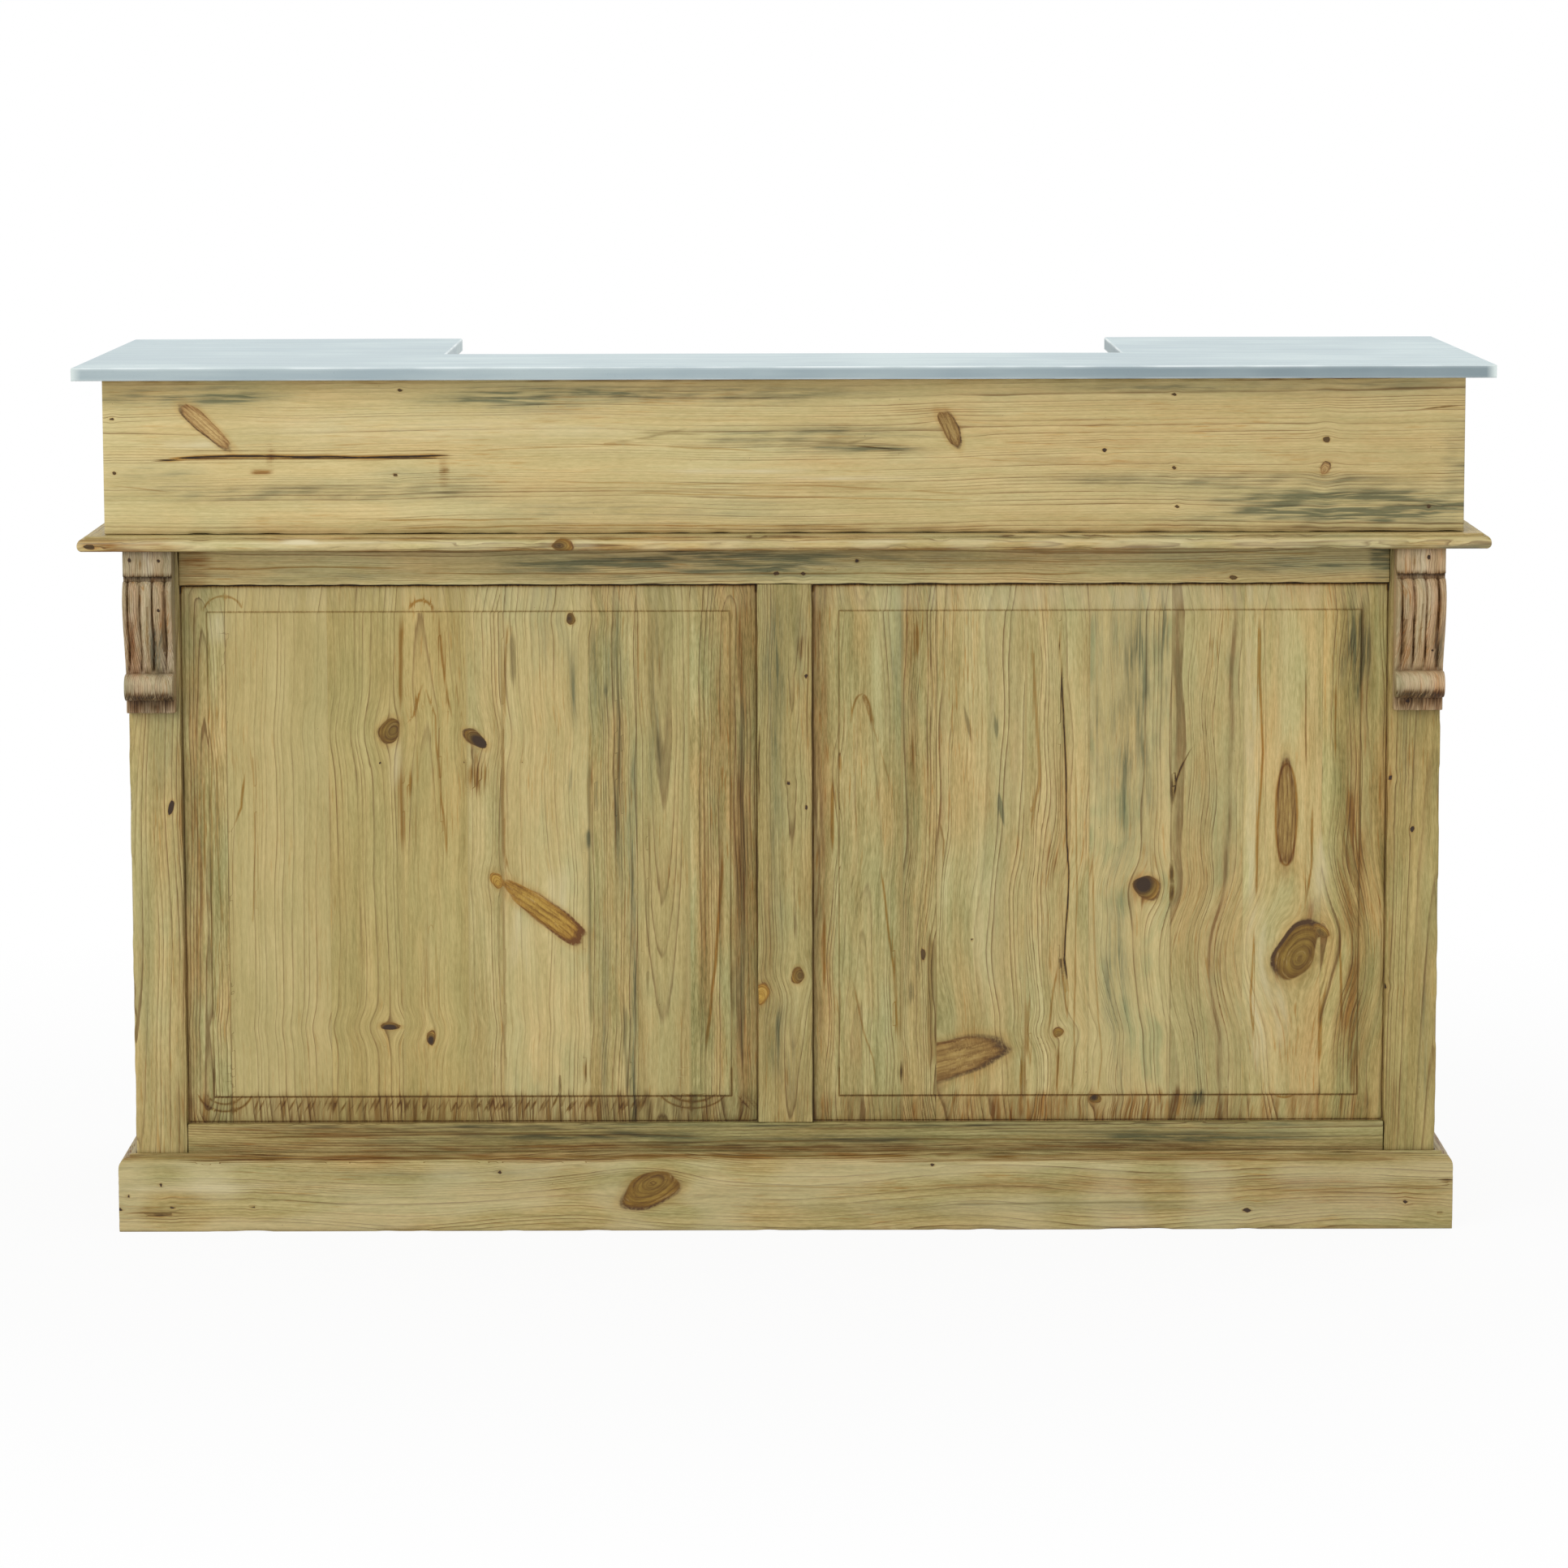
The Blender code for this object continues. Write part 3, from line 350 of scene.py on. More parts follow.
def grain_fields(a, c, d, heart, lean, spacing, seed, tone=0.0, vigour=1.0, wash=1.0, wave=1.0, planks=(),
                 knots=(), lines=(), loops=(), shaded_seams=(), grey=(), brown=(), pale=()):
    """What the pine finish reads at each point of a board, from its place along, across and into it.

    Rings: distance from the tree's heart, a line beside the board that leans through its depth and
    wanders, counted in ring widths. Beside a knot the place across is squeezed, y cubed over y squared
    plus a constant, so that the grain flows round it. Planks are (joint across, how dark the joint, tone,
    heart across, heart depth, lean, spacing, vigour of the streaks, greenish wash) from one edge to the
    other. Knots are (along, across, half length, half width, tilt, darkness of the core, of the rim, how
    red or, below zero, how pale, push, side of the darkest rim in degrees), the last four optional; a long
    one is a spike, with stripes along it in place of rings. An open joint cuts a knot off.

    A line runs along the grain through places written one after the other as along, across, and ends with
    its strength and how black, or if below zero how blue, it is. Loops are (along, across, half length,
    half width, strength, black, from, to), a part of an ellipse between two places along. Shaded seams are
    ready distances with a strength and black: round a panel they are painted shadow under the field's step
    and, at the frame's edge, a dark joint with painted shadow over it. Grey, brown and pale marks are
    (along, across, half length, half width, amount): most are stains, but the wide bands on a panel's
    bottom and top bevels are painted shade and painted light.
    """
    flat = np.zeros(np.shape(c))
    plank = flat.astype(int)
    open_joints = np.array([row[0] for row in planks[1:] if row[1] > 0.2])
    bay = np.searchsorted(open_joints, c)
    marks = []

    def mark(off, strong, dark, start, end, fading):
        window = np.clip((a - start) / fading, 0, 1) * np.clip((end - a) / fading, 0, 1)
        marks.append((off + np.sign(off) * 3 * LINE_REACH * (window == 0), strong * window, dark))

    if planks:
        joints = np.array([row[0] for row in planks])
        plank = np.searchsorted(joints[1:], c)
        table = np.array([row[2:] for row in planks])[plank]
        tone, heart_c, heart_d, lean, spacing, vigour, wash = np.moveaxis(table, -1, 0)
        heart = heart_c, heart_d
        marks += [(c - row[0], row[1] + flat, 1.0) for row in planks[1:]]
    draw = np.random.default_rng(seed)
    flow = c
    nearest, core, figure, rim, ruddy = flat + 9.0, flat, flat, flat, flat
    for along, across, half_length, half_width, tilt, dark, *more in knots:
        edge_dark, red, push, side = (*more, *(0.5, 0.3, 1.6, draw.uniform(0, 360))[len(more):])
        side = math.radians(side)
        spike = half_length > 2.2 * half_width
        reach = (0.7 if spike else push) * half_width
        spread = np.exp(-(((a - along) / (1.4 * half_length + 0.6 * reach)) ** 2))
        y = c - across
        flow = flow - y * spread * reach**2 / (y * y + reach**2)
        p, q = oval(a, c, (along, across), (half_length, half_width), tilt)
        angle = np.arctan2(q, p)
        waves = ((2, 0.07), (3, 0.06), (5, 0.035), (9, 0.025 if spike else 0.0))
        ragged = sum(k * np.sin(n * angle + draw.uniform(0, 6.3)) for n, k in waves)
        blunt = 2.7 if spike else 2.0
        edge = (np.abs(p) ** blunt + np.abs(q) ** blunt) ** (1 / blunt) * (1 + ragged)
        edge = np.where(bay == np.searchsorted(open_joints, across), edge, 9.0)
        shift = 0.35 if half_width > 0.0045 else 0.0
        pith = np.hypot(p + shift * math.cos(side), q + shift * math.sin(side))
        here = edge < nearest
        figure = np.where(here, q * 1.3 + 0.2 * p * p if spike else 2.0 * pith, figure)
        core = np.where(here, dark * np.clip(1.35 - 1.1 * pith if shift else 1.0, 0, 1), core)
        rim = np.where(here, edge_dark * np.clip(0.45 + 0.8 * np.cos(angle - side), 0, 1.2), rim)
        ruddy = np.where(here, red, ruddy)
        nearest = np.minimum(nearest, edge)
    shifted = a + 1.7 * plank
    wander = 0.006 * drift(seed, 0.6, shifted, 1.5 * c)
    wander = wander + 0.0012 * wave * drift(seed + 1, 0.16, shifted, 2 * c)
    reach = np.hypot(flow - heart[0] + wander, d + heart[1] + lean * a + 0.4 * wander)
    ring = reach / spacing + 0.8 * drift(seed + 2, 0.03, reach)
    for *path, strong, dark in lines:
        path = np.reshape(path, (-1, 2))
        start, end = path[0, 0], path[-1, 0]
        off = c - np.interp(a, path[:, 0], path[:, 1]) + 0.0005 * drift(seed + 4, 0.10, a)
        mark(off, strong, dark, start, end, min(0.35 * (end - start), 0.025) + 0.002)
    for along, across, half_length, half_width, strong, dark, start, end in loops:
        p, q = oval(a, c, (along, across), (half_length, half_width), 0)
        size = np.hypot(p, q)
        slope = np.hypot(p / half_length, q / half_width) / np.maximum(size, 0.05)
        mark((size - 1) / np.maximum(slope, 1.0), strong, dark, start, end, 0.006)
    streak = 1 + 0.5 * drift(seed + 5, 0.014, a / 16, flow) + 0.45 * drift(seed + 6, 0.006, a / 12, flow)
    streak = np.clip(streak, 0.1, 2.2)
    ends = 0.25 * drift(seed + 7, 0.02, c)
    stained = []
    for stains in (grey, brown, pale):
        total = flat.copy()
        for along, across, half_length, half_width, amount in stains:
            spread = np.exp(-(((a - along) / half_length + ends) ** 4) - ((c - across) / half_width) ** 2)
            total += amount * spread * streak
        stained.append(total)
    return {
        "grain": (ring, a + 3.1 * plank, flow + 0.7 * d + 0.83 * plank),
        "knot": (nearest, core, figure),
        "burl": (rim, ruddy, flat),
        "line": multiplied(marks, flat),
        "seam_shade": multiplied([(off, strong + flat, dark) for off, strong, dark in shaded_seams], flat),
        "stain_and_shade": tuple(stained),
        "tone": (tone + flat, vigour + flat, wash + flat),
    }


def pine(name, light, dark, rough, contrast=1.0, crease_shade=0.5):
    """Waxed old pine. Early wood deepens slowly towards each ring's dark late wood and then falls back;
    fine and broad streaks run along the grain, knots have rings and a dark rim of their own, and stains,
    shakes, joints and tone come from the board's fields, some of them painted shade and painted light.
    Creases and corners get painted shade from ambient occlusion."""
    made = bpy.data.materials.new(name)
    tree = empty_tree(made)
    maths, fade, blend, field = tools(tree)

    def times(one, other, clamp=False):
        return maths("MULTIPLY", one, other, clamp=clamp)

    def plus(one, other):
        return maths("ADD", one, other)

    def over_zero(value):
        return times(value, 1.0, clamp=True)

    def under_zero(value):
        return times(value, -1.0, clamp=True)

    def tinted(colour, factor, tint):
        return blend("MULTIPLY", factor, colour, tint)

    def painted(colour, factor, paint):
        return blend("MIX", factor, colour, paint)

    def cloud(x, y, z, detail):
        vector = add_node(tree, "ShaderNodeCombineXYZ", (x, y, z))
        inputs = {"Vector": vector, "Scale": 1.0, "Detail": detail, "Roughness": 0.55}
        return add_node(tree, "ShaderNodeTexNoise", inputs)

    ring, along, across = field("grain")
    knot, knot_dark, figure = field("knot")
    rim, ruddy, _ = field("burl")
    grey, brown, pale = field("stain_and_shade")
    tone, vigour, washed = field("tone")

    def patches(over, ahead, deep, detail):
        return cloud(times(across, over), times(along, ahead), deep, detail)

    def streaks(over, ahead, turned, detail):
        return patches(over, ahead, times(ring, turned), detail)

    broad = streaks(48.0, 3.0, 0.05, 3.0)
    fine = streaks(330.0, 13.0, 0.3, 4.0)
    hair = streaks(850.0, 90.0, 0.9, 2.0)
    dash = streaks(420.0, 22.0, 0.4, 1.0)
    tint = streaks(36.0, 5.0, 0.05, 4.0)
    mottle = patches(16.0, 8.0, 2.0, 3.0)
    zone = patches(11.0, 4.0, 9.0, 2.0)
    speck = patches(260.0, 200.0, 5.0, 1.0)
    curl = patches(45.0, 40.0, times(figure, 4.5), 4.0)

    # The rings: each year has a strength of its own, and its late wood is the dark part.
    rings = plus(ring, times(fine, 0.25))
    year = cloud(times(maths("FLOOR", rings), 0.73), times(along, 0.8), 4.0, 0.0)
    late = add_node(tree, "ShaderNodeValToRGB", (maths("FRACT", rings),))
    ramp = late.node.color_ramp.elements
    for place, position, level in ((0, 0.25, 0.0), (1, 0.72, 0.25)):
        ramp[place].position = position
        ramp[place].color = (level, level, level, 1.0)
    ramp.new(0.88).color = (1.0, 1.0, 1.0, 1.0)
    ramp.new(0.96).color = (0.0, 0.0, 0.0, 1.0)
    depth = fade(plus(broad, times(mottle, 0.7)), 0.62, 1.05, 0.18, 0.85)
    yearly = fade(year, 0.35, 0.65, 0.40 * contrast, 1.45 * contrast)
    figured = times(fade(vigour, 0.4, 1.6, 0.6, 1.4), yearly)
    late = times(late, times(depth, plus(times(brown, 2.6), figured)), clamp=True)
    wood = painted(light, late, dark)

    # Streaks of shade and hue along the grain.
    shade = plus(fade(broad, 0.30, 0.70, -0.12, 0.11), fade(fine, 0.30, 0.70, -0.10, 0.09))
    shade = times(plus(shade, fade(hair, 0.3, 0.7, -0.10, 0.09)), vigour)
    shade = plus(plus(shade, fade(mottle, 0.3, 0.7, 0.93, 1.06)), tone)
    hue = plus(fade(tint, 0.32, 0.68, -1.0, 1.0), fade(zone, 0.3, 0.7, -0.8, 0.8))
    hue = times(hue, times(vigour, vigour))
    warm = times(shade, plus(times(hue, 0.030), 1.0))
    green = times(shade, plus(times(hue, -0.022), 1.0))
    blue = times(maths("POWER", shade, 1.4), plus(times(hue, -0.050), 1.0))
    wood = tinted(wood, 1.0, add_node(tree, "ShaderNodeCombineXYZ", (warm, green, blue)))

    # Resin dashes, the greenish or yellowish wash of old wax, pores, and the stains, with the painted shade
    # and painted light that some boards carry among them.
    resinous = times(fade(dash, 0.58, 0.74, 0.0, 0.70), fade(zone, 0.42, 0.62))
    wood = tinted(wood, times(resinous, vigour, clamp=True), (0.80, 0.57, 0.32))
    wash = times(fade(mottle, 0.45, 0.64), fade(broad, 0.40, 0.62, 0.0, 0.30))
    wood = tinted(wood, times(wash, washed, clamp=True), (0.64, 0.755, 0.73))
    wood = tinted(wood, under_zero(washed), (1.0, 0.945, 0.79))
    wood = tinted(wood, fade(speck, 0.77, 0.84, 0.0, 0.6), (0.30, 0.22, 0.16))
    torn = fade(fine, 0.36, 0.58, 0.25, 1.15)
    wood = tinted(wood, times(grey, torn, clamp=True), (0.30, 0.36, 0.38))
    wood = tinted(wood, times(brown, torn, clamp=True), (0.58, 0.40, 0.23))
    wood = painted(wood, times(pale, 0.6, clamp=True), (0.66, 0.58, 0.36))

    # Knots: amber to reddish or pale, ringed and streaked, with a dark core and a burnt rim.
    wood = tinted(wood, fade(knot, 1.0, 1.6, 0.45, 0.0), (0.80, 0.60, 0.36))
    turned = painted((0.285, 0.178, 0.032), over_zero(ruddy), (0.63, 0.395, 0.075))
    turned = painted(turned, under_zero(ruddy), (0.66, 0.47, 0.20))
    turn = maths("FRACT", plus(times(figure, 1.6), times(fine, 1.1)))
    turned = tinted(turned, fade(turn, 0.35, 0.95, 0.0, 0.6), (0.55, 0.44, 0.36))
    turned = tinted(turned, fade(knot, 0.45, 1.0, 0.0, 0.75), (0.58, 0.44, 0.34))
    turned = tinted(turned, fade(curl, 0.42, 0.68, 0.0, 0.8), (0.52, 0.42, 0.36))
    turned = painted(turned, fade(curl, 0.42, 0.26, 0.0, 0.45), (0.56, 0.42, 0.20))
    turned = tinted(turned, fade(hair, 0.62, 0.35, 0.0, 0.3), (0.55, 0.45, 0.36))
    core = times(knot_dark, fade(mottle, 0.3, 0.6, 0.85, 1.1), clamp=True)
    turned = painted(turned, core, (0.040, 0.022, 0.011))
    wood = painted(wood, fade(knot, 1.05, 0.95), turned)
    rim = times(rim, times(fade(knot, 1.17, 1.03), fade(knot, 0.84, 1.0)))
    rim = times(rim, fade(speck, 0.35, 0.60, 0.6, 1.0), clamp=True)
    burnt = painted((0.070, 0.034, 0.012), over_zero(ruddy), (0.16, 0.060, 0.012))
    wood = painted(wood, rim, burnt)

    # Shakes, joints and the shaded seams round the panels, whose lines are partly painted shadow: a brown or
    # bluish halo, and in the black ones a slit.
    broken = fade(hair, 0.32, 0.55, 0.6, 1.0)
    slits = []
    for apart, strength, black in (field("line"), field("seam_shade")):
        near = plus(maths("ABSOLUTE", apart), fade(fine, 0.3, 0.7, -0.0003, 0.0003))
        width = plus(times(strength, 0.0018), 0.0005)
        drawn = times(fade(near, width, 0.0), times(strength, broken), clamp=True)
        chill = times(drawn, under_zero(black))
        wood = tinted(wood, maths("SUBTRACT", drawn, chill), (0.62, 0.43, 0.19))
        wood = tinted(wood, chill, (0.42, 0.49, 0.53))
        width = plus(times(strength, 0.0007), 0.0004)
        slit = times(fade(near, width, 0.0002), times(strength, broken))
        slit = times(slit, over_zero(black), clamp=True)
        wood = painted(wood, slit, (0.035, 0.020, 0.01))
        slits.append(slit)
    slit = maths("MAXIMUM", *slits)

    # Painted shade in the creases and corners, a brown darkening where ambient occlusion finds the surface
    # hemmed in, then the relief and the gloss.
    crease = add_node(tree, "ShaderNodeAmbientOcclusion", {"Distance": 0.010}, output=1, samples=4)
    wood = tinted(wood, fade(crease, 0.35, 0.90, crease_shade, 0.0), (0.30, 0.20, 0.12))
    height = plus(plus(times(late, 0.5), times(fine, 0.6)), times(hair, 0.25))
    height = maths("SUBTRACT", height, times(slit, 2.2))
    height = maths("SUBTRACT", height, times(rim, 0.8))
    bump = add_node(tree, "ShaderNodeBump", {"Strength": 0.4, "Distance": 0.0006, "Height": height})
    gloss = plus(fade(fine, 0.2, 0.8, rough - 0.06, rough + 0.10), times(slit, 0.25))
    inputs = {"Base Color": wood, "Roughness": gloss, "Normal": bump}
    inputs |= {"IOR": 1.45, "Specular IOR Level": 0.35}
    shader = add_node(tree, "ShaderNodeBsdfPrincipled", inputs)
    add_node(tree, "ShaderNodeOutputMaterial", (shader,))
    return made


FINISHES = {
    "waxed_pine": pine("waxed_pine", (0.535, 0.43, 0.190), (0.245, 0.160, 0.058), 0.46, contrast=1.35),
    "bare_pine": pine("bare_pine", (0.60, 0.49, 0.27), (0.42, 0.29, 0.13), 0.60, contrast=0.8, crease_shade=0.3),
}


def finish(piece, body, slot, *nodes):
    """Gives a piece its finish and the CAD body that it moves with, in place of the nodes named."""
    piece.data.materials.append(FINISHES[slot])
    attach(piece, body)
    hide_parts(*nodes)


def grooved(low, high, thick, notches):
    """A board's section with square grooves in its edges. Notches are (edge, near depth, far depth, how
    deep), where edge is 0 for the low edge and 1 for the high one."""
    corners = [(low, 0.0), (high, 0.0)]
    for edge, near, far, cut in notches:
        if edge:
            corners += [(high, near), (high - cut, near), (high - cut, far), (high, far)]
    corners += [(high, thick), (low, thick)]
    for edge, near, far, cut in notches:
        if not edge:
            corners += [(low, far), (low + cut, far), (low + cut, near), (low, near)]
    return corners


def board(node, body, out, run, slot="waxed_pine", step=0.003, radius=0.0013, wear=0.0009, notches=(),
          heart=None, lean=None, spacing=0.0032, part="wood", box=None, section=None, **marks):
    """A planed board in the box of its CAD node, or in a part of it: an eased outline carried along the
    grain, its arrises worn away by up to `wear` in a wandering line. A section other than a rectangle
    with grooved edges is given as its corners."""
    (a0, c0, d0), (a1, c1, d1), ways, origin, seed = lie(node, out, run, box)
    thick = d1 - d0
    draw = np.random.default_rng(seed)
    corners = section(c0, c1, thick) if section else grooved(c0, c1, thick, notches)
    steps = [step] + [max(HIDDEN_STEP, step)] * (len(corners) - 1)
    outer = [corner in ((c0, 0.0), (c1, 0.0), (c1, thick), (c0, thick)) for corner in corners]
    outline, worn = eased(corners, np.where(outer, radius, INNER_RADIUS), steps)
    places, inset = stations(a0, a1, max(GRAIN_STEP, step), radius)
    a, c = np.meshgrid(places, outline[:, 0], indexing="ij")
    d = np.broadcast_to(outline[:, 1], a.shape)
    normal = outward(outline)
    side = np.cumsum(np.abs(np.diff(worn, prepend=worn[-1])))
    loss = np.clip(0.35 + 0.75 * drift(seed + 7, 0.06, a, side[None] * 0.9), 0, 1.3) * wear * worn
    loss = loss + inset[:, None]
    c = c - loss * normal[:, 0]
    d = d - loss * normal[:, 1]
    if heart is None:
        heart = draw.uniform(c0, c1), draw.choice([-1, 1]) * draw.uniform(0.02, 0.07)
    if lean is None:
        lean = draw.choice([-1, 1]) * draw.uniform(0.012, 0.03)
    fields = grain_fields(a, c, d, heart, lean, spacing, seed, **marks)
    piece = put_skin(f"{node}_{part}", np.stack([a, c, d], axis=-1) @ ways + origin, fields)
    finish(piece, body, slot, node)


def nails(half_length, half_width, dark, *places):
    """Nail holes: small knots without a tilt, with a dark core."""
    return [(*place, half_length, half_width, 0, dark) for place in places]


board(
    "frieze_front", "carcass", "-y", "x", step=0.0026, radius=0.0015, wear=0.0014,
    heart=(1.130, 0.050), lean=0.004, spacing=0.0044, tone=0.13, vigour=0.75,
    knots=[
        (-0.735, 1.044, 0.042, 0.009, -42, 0.0, 0.8, -0.75, 1.6, 270),
        (0.211, 1.0385, 0.024, 0.0095, -68, 0.12, 0.8, -0.35, 1.6, 60),
        (0.689, 1.0234, 0.005, 0.0036, 0, 0.75, 0.8, 0.5),
        (0.688, 0.987, 0.009, 0.0055, 60, 0.0, 0.9, -0.8), (0.407, 1.0105, 0.0034, 0.0026, 0, 1.0),
        *nails(0.0032, 0.0022, 0.8, (-0.853, 1.053), (-0.851, 0.984), (-0.487, 1.0885), (-0.494, 0.981),
               (0.495, 1.081), (0.496, 0.988), (0.5, 0.9385), (0.82, 0.9375)),
    ],
    lines=[
        (-0.805, 0.9995, -0.76, 1.003, -0.7, 1.006, -0.55, 1.0035, -0.419, 1.0055, 1.9, 1.0),
        (-0.523, 0.9235, -0.296, 0.9245, 0.8, 0.1), (0.08, 1.018, 0.159, 1.01, 0.9, 0.8),
        (-0.3, 0.972, 0.05, 0.966, 0.24, 0.955, 0.6, 0.1),
        (0.21, 1.002, 0.52, 0.984, 0.86, 0.979, 0.4, 0.0), (0.8, 1.06, 0.865, 1.067, 0.9, 0.8),
        (-0.86, 0.968, -0.77, 0.96, 0.6, 0.2), (-0.4, 1.012, -0.2, 1.019, -0.02, 1.01, 0.6, 0.1),
        (-0.23, 1.02, -0.17, 1.028, -0.12, 1.041, 0.9, -0.5), (-0.2, 1.034, -0.09, 1.032, 0.8, -0.5),
        (-0.02, 1.025, 0.08, 1.02, 0.12, 1.028, 0.9, -0.6),
        (-0.5, 0.913, -0.25, 0.9165, 0.1, 0.914, 0.8, 0.2),
        (-0.2, 0.958, 0.05, 0.951, 0.25, 0.947, 0.7, 0.0),
    ],
    grey=[
        (0.715, 0.938, 0.17, 0.022, 1.15), (0.56, 0.972, 0.2, 0.01, 0.45),
        (-0.76, 1.081, 0.11, 0.012, 0.85), (-0.17, 1.083, 0.24, 0.01, 0.75),
        (0.03, 1.031, 0.14, 0.011, 0.55), (0.07, 1.012, 0.1, 0.006, 0.6), (-0.64, 0.958, 0.23, 0.01, 0.5),
        (-0.8, 0.985, 0.06, 0.012, 0.35), (0.6, 1.09, 0.26, 0.008, 0.4), (0.86, 1.0, 0.02, 0.05, 0.35),
        (-0.2, 0.935, 0.22, 0.014, 0.3), (-0.35, 1.074, 0.1, 0.014, 0.45), (-0.45, 0.975, 0.08, 0.02, 0.25),
    ],
    brown=[
        (0.5, 1.0, 0.55, 0.1, 0.16), (-0.3, 0.96, 0.4, 0.01, 0.25), (0.2, 1.055, 0.06, 0.012, 0.25),
        (0.0, 0.912, 0.9, 0.006, 0.3), (-0.432, 0.985, 0.005, 0.015, 0.8),
        (-0.652, 1.006, 0.004, 0.014, 0.5), (-0.665, 0.985, 0.012, 0.004, 0.7),
    ],
    pale=[
        (-0.745, 1.02, 0.04, 0.008, 0.5), (-0.45, 1.04, 0.25, 0.02, 0.35), (-0.06, 0.985, 0.08, 0.003, 0.8),
        (0.08, 0.976, 0.08, 0.002, 0.8),
    ],
)
for side, out in (("left", "-x"), ("right", "+x")):
    board(
        f"frieze_end_{side}", "carcass", out, "y", step=0.004, spacing=0.0036,
        knots=[(0.12, 1.01, 0.01, 0.008, 10, 0.5), (-0.15, 0.95, 0.006, 0.004, 0, 1.0)],
        grey=[(0.05, 1.085, 0.25, 0.012, 0.5), (-0.2, 0.93, 0.12, 0.02, 0.4)],
        lines=[(-0.1, 0.99, 0.2, 0.996, 0.8, 0.6)],
    )
    board(f"cheek_{side}", "carcass", "+x" if side == "left" else "-x", "y", "bare_pine", step=0.006)


# The front frame: corner posts, muntin and rails of the same old pine, pegged together and grooved for
# the panels. The rails are stained darkest, in the cornice's shade and over the plinth.

PANEL_NOTCH = (0.0097, 0.0173, 0.009)

board(
    "front_top_rail", "carcass", "-y", "x", notches=[(0, *PANEL_NOTCH)], heart=(0.93, 0.03), lean=0.008,
    spacing=0.0028,
    knots=[
        (0.574, 0.8454, 0.005, 0.003, 0, 0.8), (0.093, 0.868, 0.0034, 0.0025, 0, 0.9),
        (-0.01, 0.852, 0.0042, 0.0026, 20, 0.9), (0.024, 0.8515, 0.0036, 0.0025, 30, 0.9),
    ],
    grey=[
        (-0.16, 0.862, 0.2, 0.016, 0.85), (0.05, 0.872, 0.3, 0.01, 0.5), (0.62, 0.862, 0.14, 0.014, 0.6),
        (-0.62, 0.85, 0.16, 0.01, 0.3), (0.765, 0.87, 0.015, 0.03, 0.9),
    ],
    brown=[(0.0, 0.884, 0.8, 0.005, 0.4), (-0.755, 0.862, 0.02, 0.03, 0.6)],
    lines=[
        (-0.48, 0.853, 0.4, 0.851, 0.8, 0.3), (0.05, 0.868, 0.6, 0.866, 0.6, 0.0),
        (-0.76, 0.858, -0.6, 0.862, -0.48, 0.86, 0.9, 0.1),
        (-0.3, 0.874, -0.1, 0.868, 0.05, 0.858, 0.9, -0.7), (0.3, 0.88, 0.7, 0.876, 0.7, 0.1),
    ],
)
board(
    "front_bottom_rail", "carcass", "-y", "x", notches=[(1, *PANEL_NOTCH)], heart=(0.15, 0.025),
    lean=0.007, spacing=0.0026, tone=-0.30,
    grey=[
        (0.52, 0.118, 0.16, 0.01, 0.9), (-0.3, 0.122, 0.25, 0.01, 0.6), (0.05, 0.113, 0.2, 0.008, 0.55),
        (0.0, 0.1345, 0.75, 0.0025, 0.7),
    ],
    brown=[(0.0, 0.105, 0.8, 0.008, 0.8), (-0.5, 0.128, 0.28, 0.01, 0.5), (0.2, 0.132, 0.3, 0.006, 0.45)],
    lines=[
        (-0.7, 0.12, -0.4, 0.124, -0.1, 0.121, 0.9, 0.3), (-0.2, 0.112, 0.2, 0.116, 0.5, 0.113, 0.9, 0.3),
        (0.25, 0.126, 0.7, 0.122, 1.0, -0.6),
    ],
)
board(
    "front_muntin", "carcass", "-y", "z", notches=[(0, *PANEL_NOTCH), (1, *PANEL_NOTCH)],
    heart=(0.010, 0.022), lean=-0.018, spacing=0.0030, tone=-0.26,
    knots=[
        (0.331, 0.0162, 0.0105, 0.0085, 0, 0.75), (0.307, -0.03, 0.014, 0.009, 20, 0.0, 0.5, 0.7),
        *nails(0.0032, 0.0024, 1.0, (0.5816, 0.0047), (0.7198, 0.0276), (0.5502, 0.0276)),
    ],
    grey=[
        (0.6, -0.012, 0.22, 0.01, 0.45), (0.248, -0.008, 0.05, 0.018, 0.5),
        (0.18, 0.012, 0.05, 0.014, 0.35), (0.78, 0.02, 0.06, 0.012, 0.3), (0.76, -0.016, 0.08, 0.014, 0.4),
    ],
    brown=[(0.76, 0.021, 0.014, 0.004, 0.8), (0.38, -0.024, 0.08, 0.01, 0.4)],
    lines=[(0.55, -0.0335, 0.66, -0.0325, 1.0, 1.0), (0.62, 0.028, 0.78, 0.031, 0.7, 0.5)],
)
for side, sign, spots in (
    ("left", -1, [(0.552, -0.789, 0.009, 0.0035, 10, 1.4)]),
    ("right", 1, [(0.52, 0.807, 0.004, 0.003, 0, 1.2),
                  *nails(0.0034, 0.0026, 1.1, (0.3146, 0.774), (0.5868, 0.778))]),
):
    board(
        f"front_post_{side}", "carcass", "-y", "z", radius=0.0018, wear=0.0014, knots=spots,
        heart=(sign * 0.84, 0.05), lean=0.02 * sign, spacing=0.0036, tone=-0.19 - 0.05 * sign,
        wash=1.0 if sign < 0 else -0.5,
        grey=[
            (0.62, sign * 0.8, 0.06, 0.02, 0.25),
            (0.3, sign * 0.825, 0.16, 0.008, 0.3 if sign > 0 else 0.15),
        ],
        brown=[(0.15, sign * 0.79, 0.05, 0.02, 0.3), (0.45, sign * 0.778, 0.3, 0.005, 0.4)],
    )


# The two front panels: each glued up from pine planks, with a bevel planed round it and a small step up
# to the raised field. The left one has the long spike knot, the right one the big ringed knot.

PANEL_EDGE = 0.008
BEVEL = 0.035
SHOULDER = 0.0018
JOINT_WIDTH = 0.0006


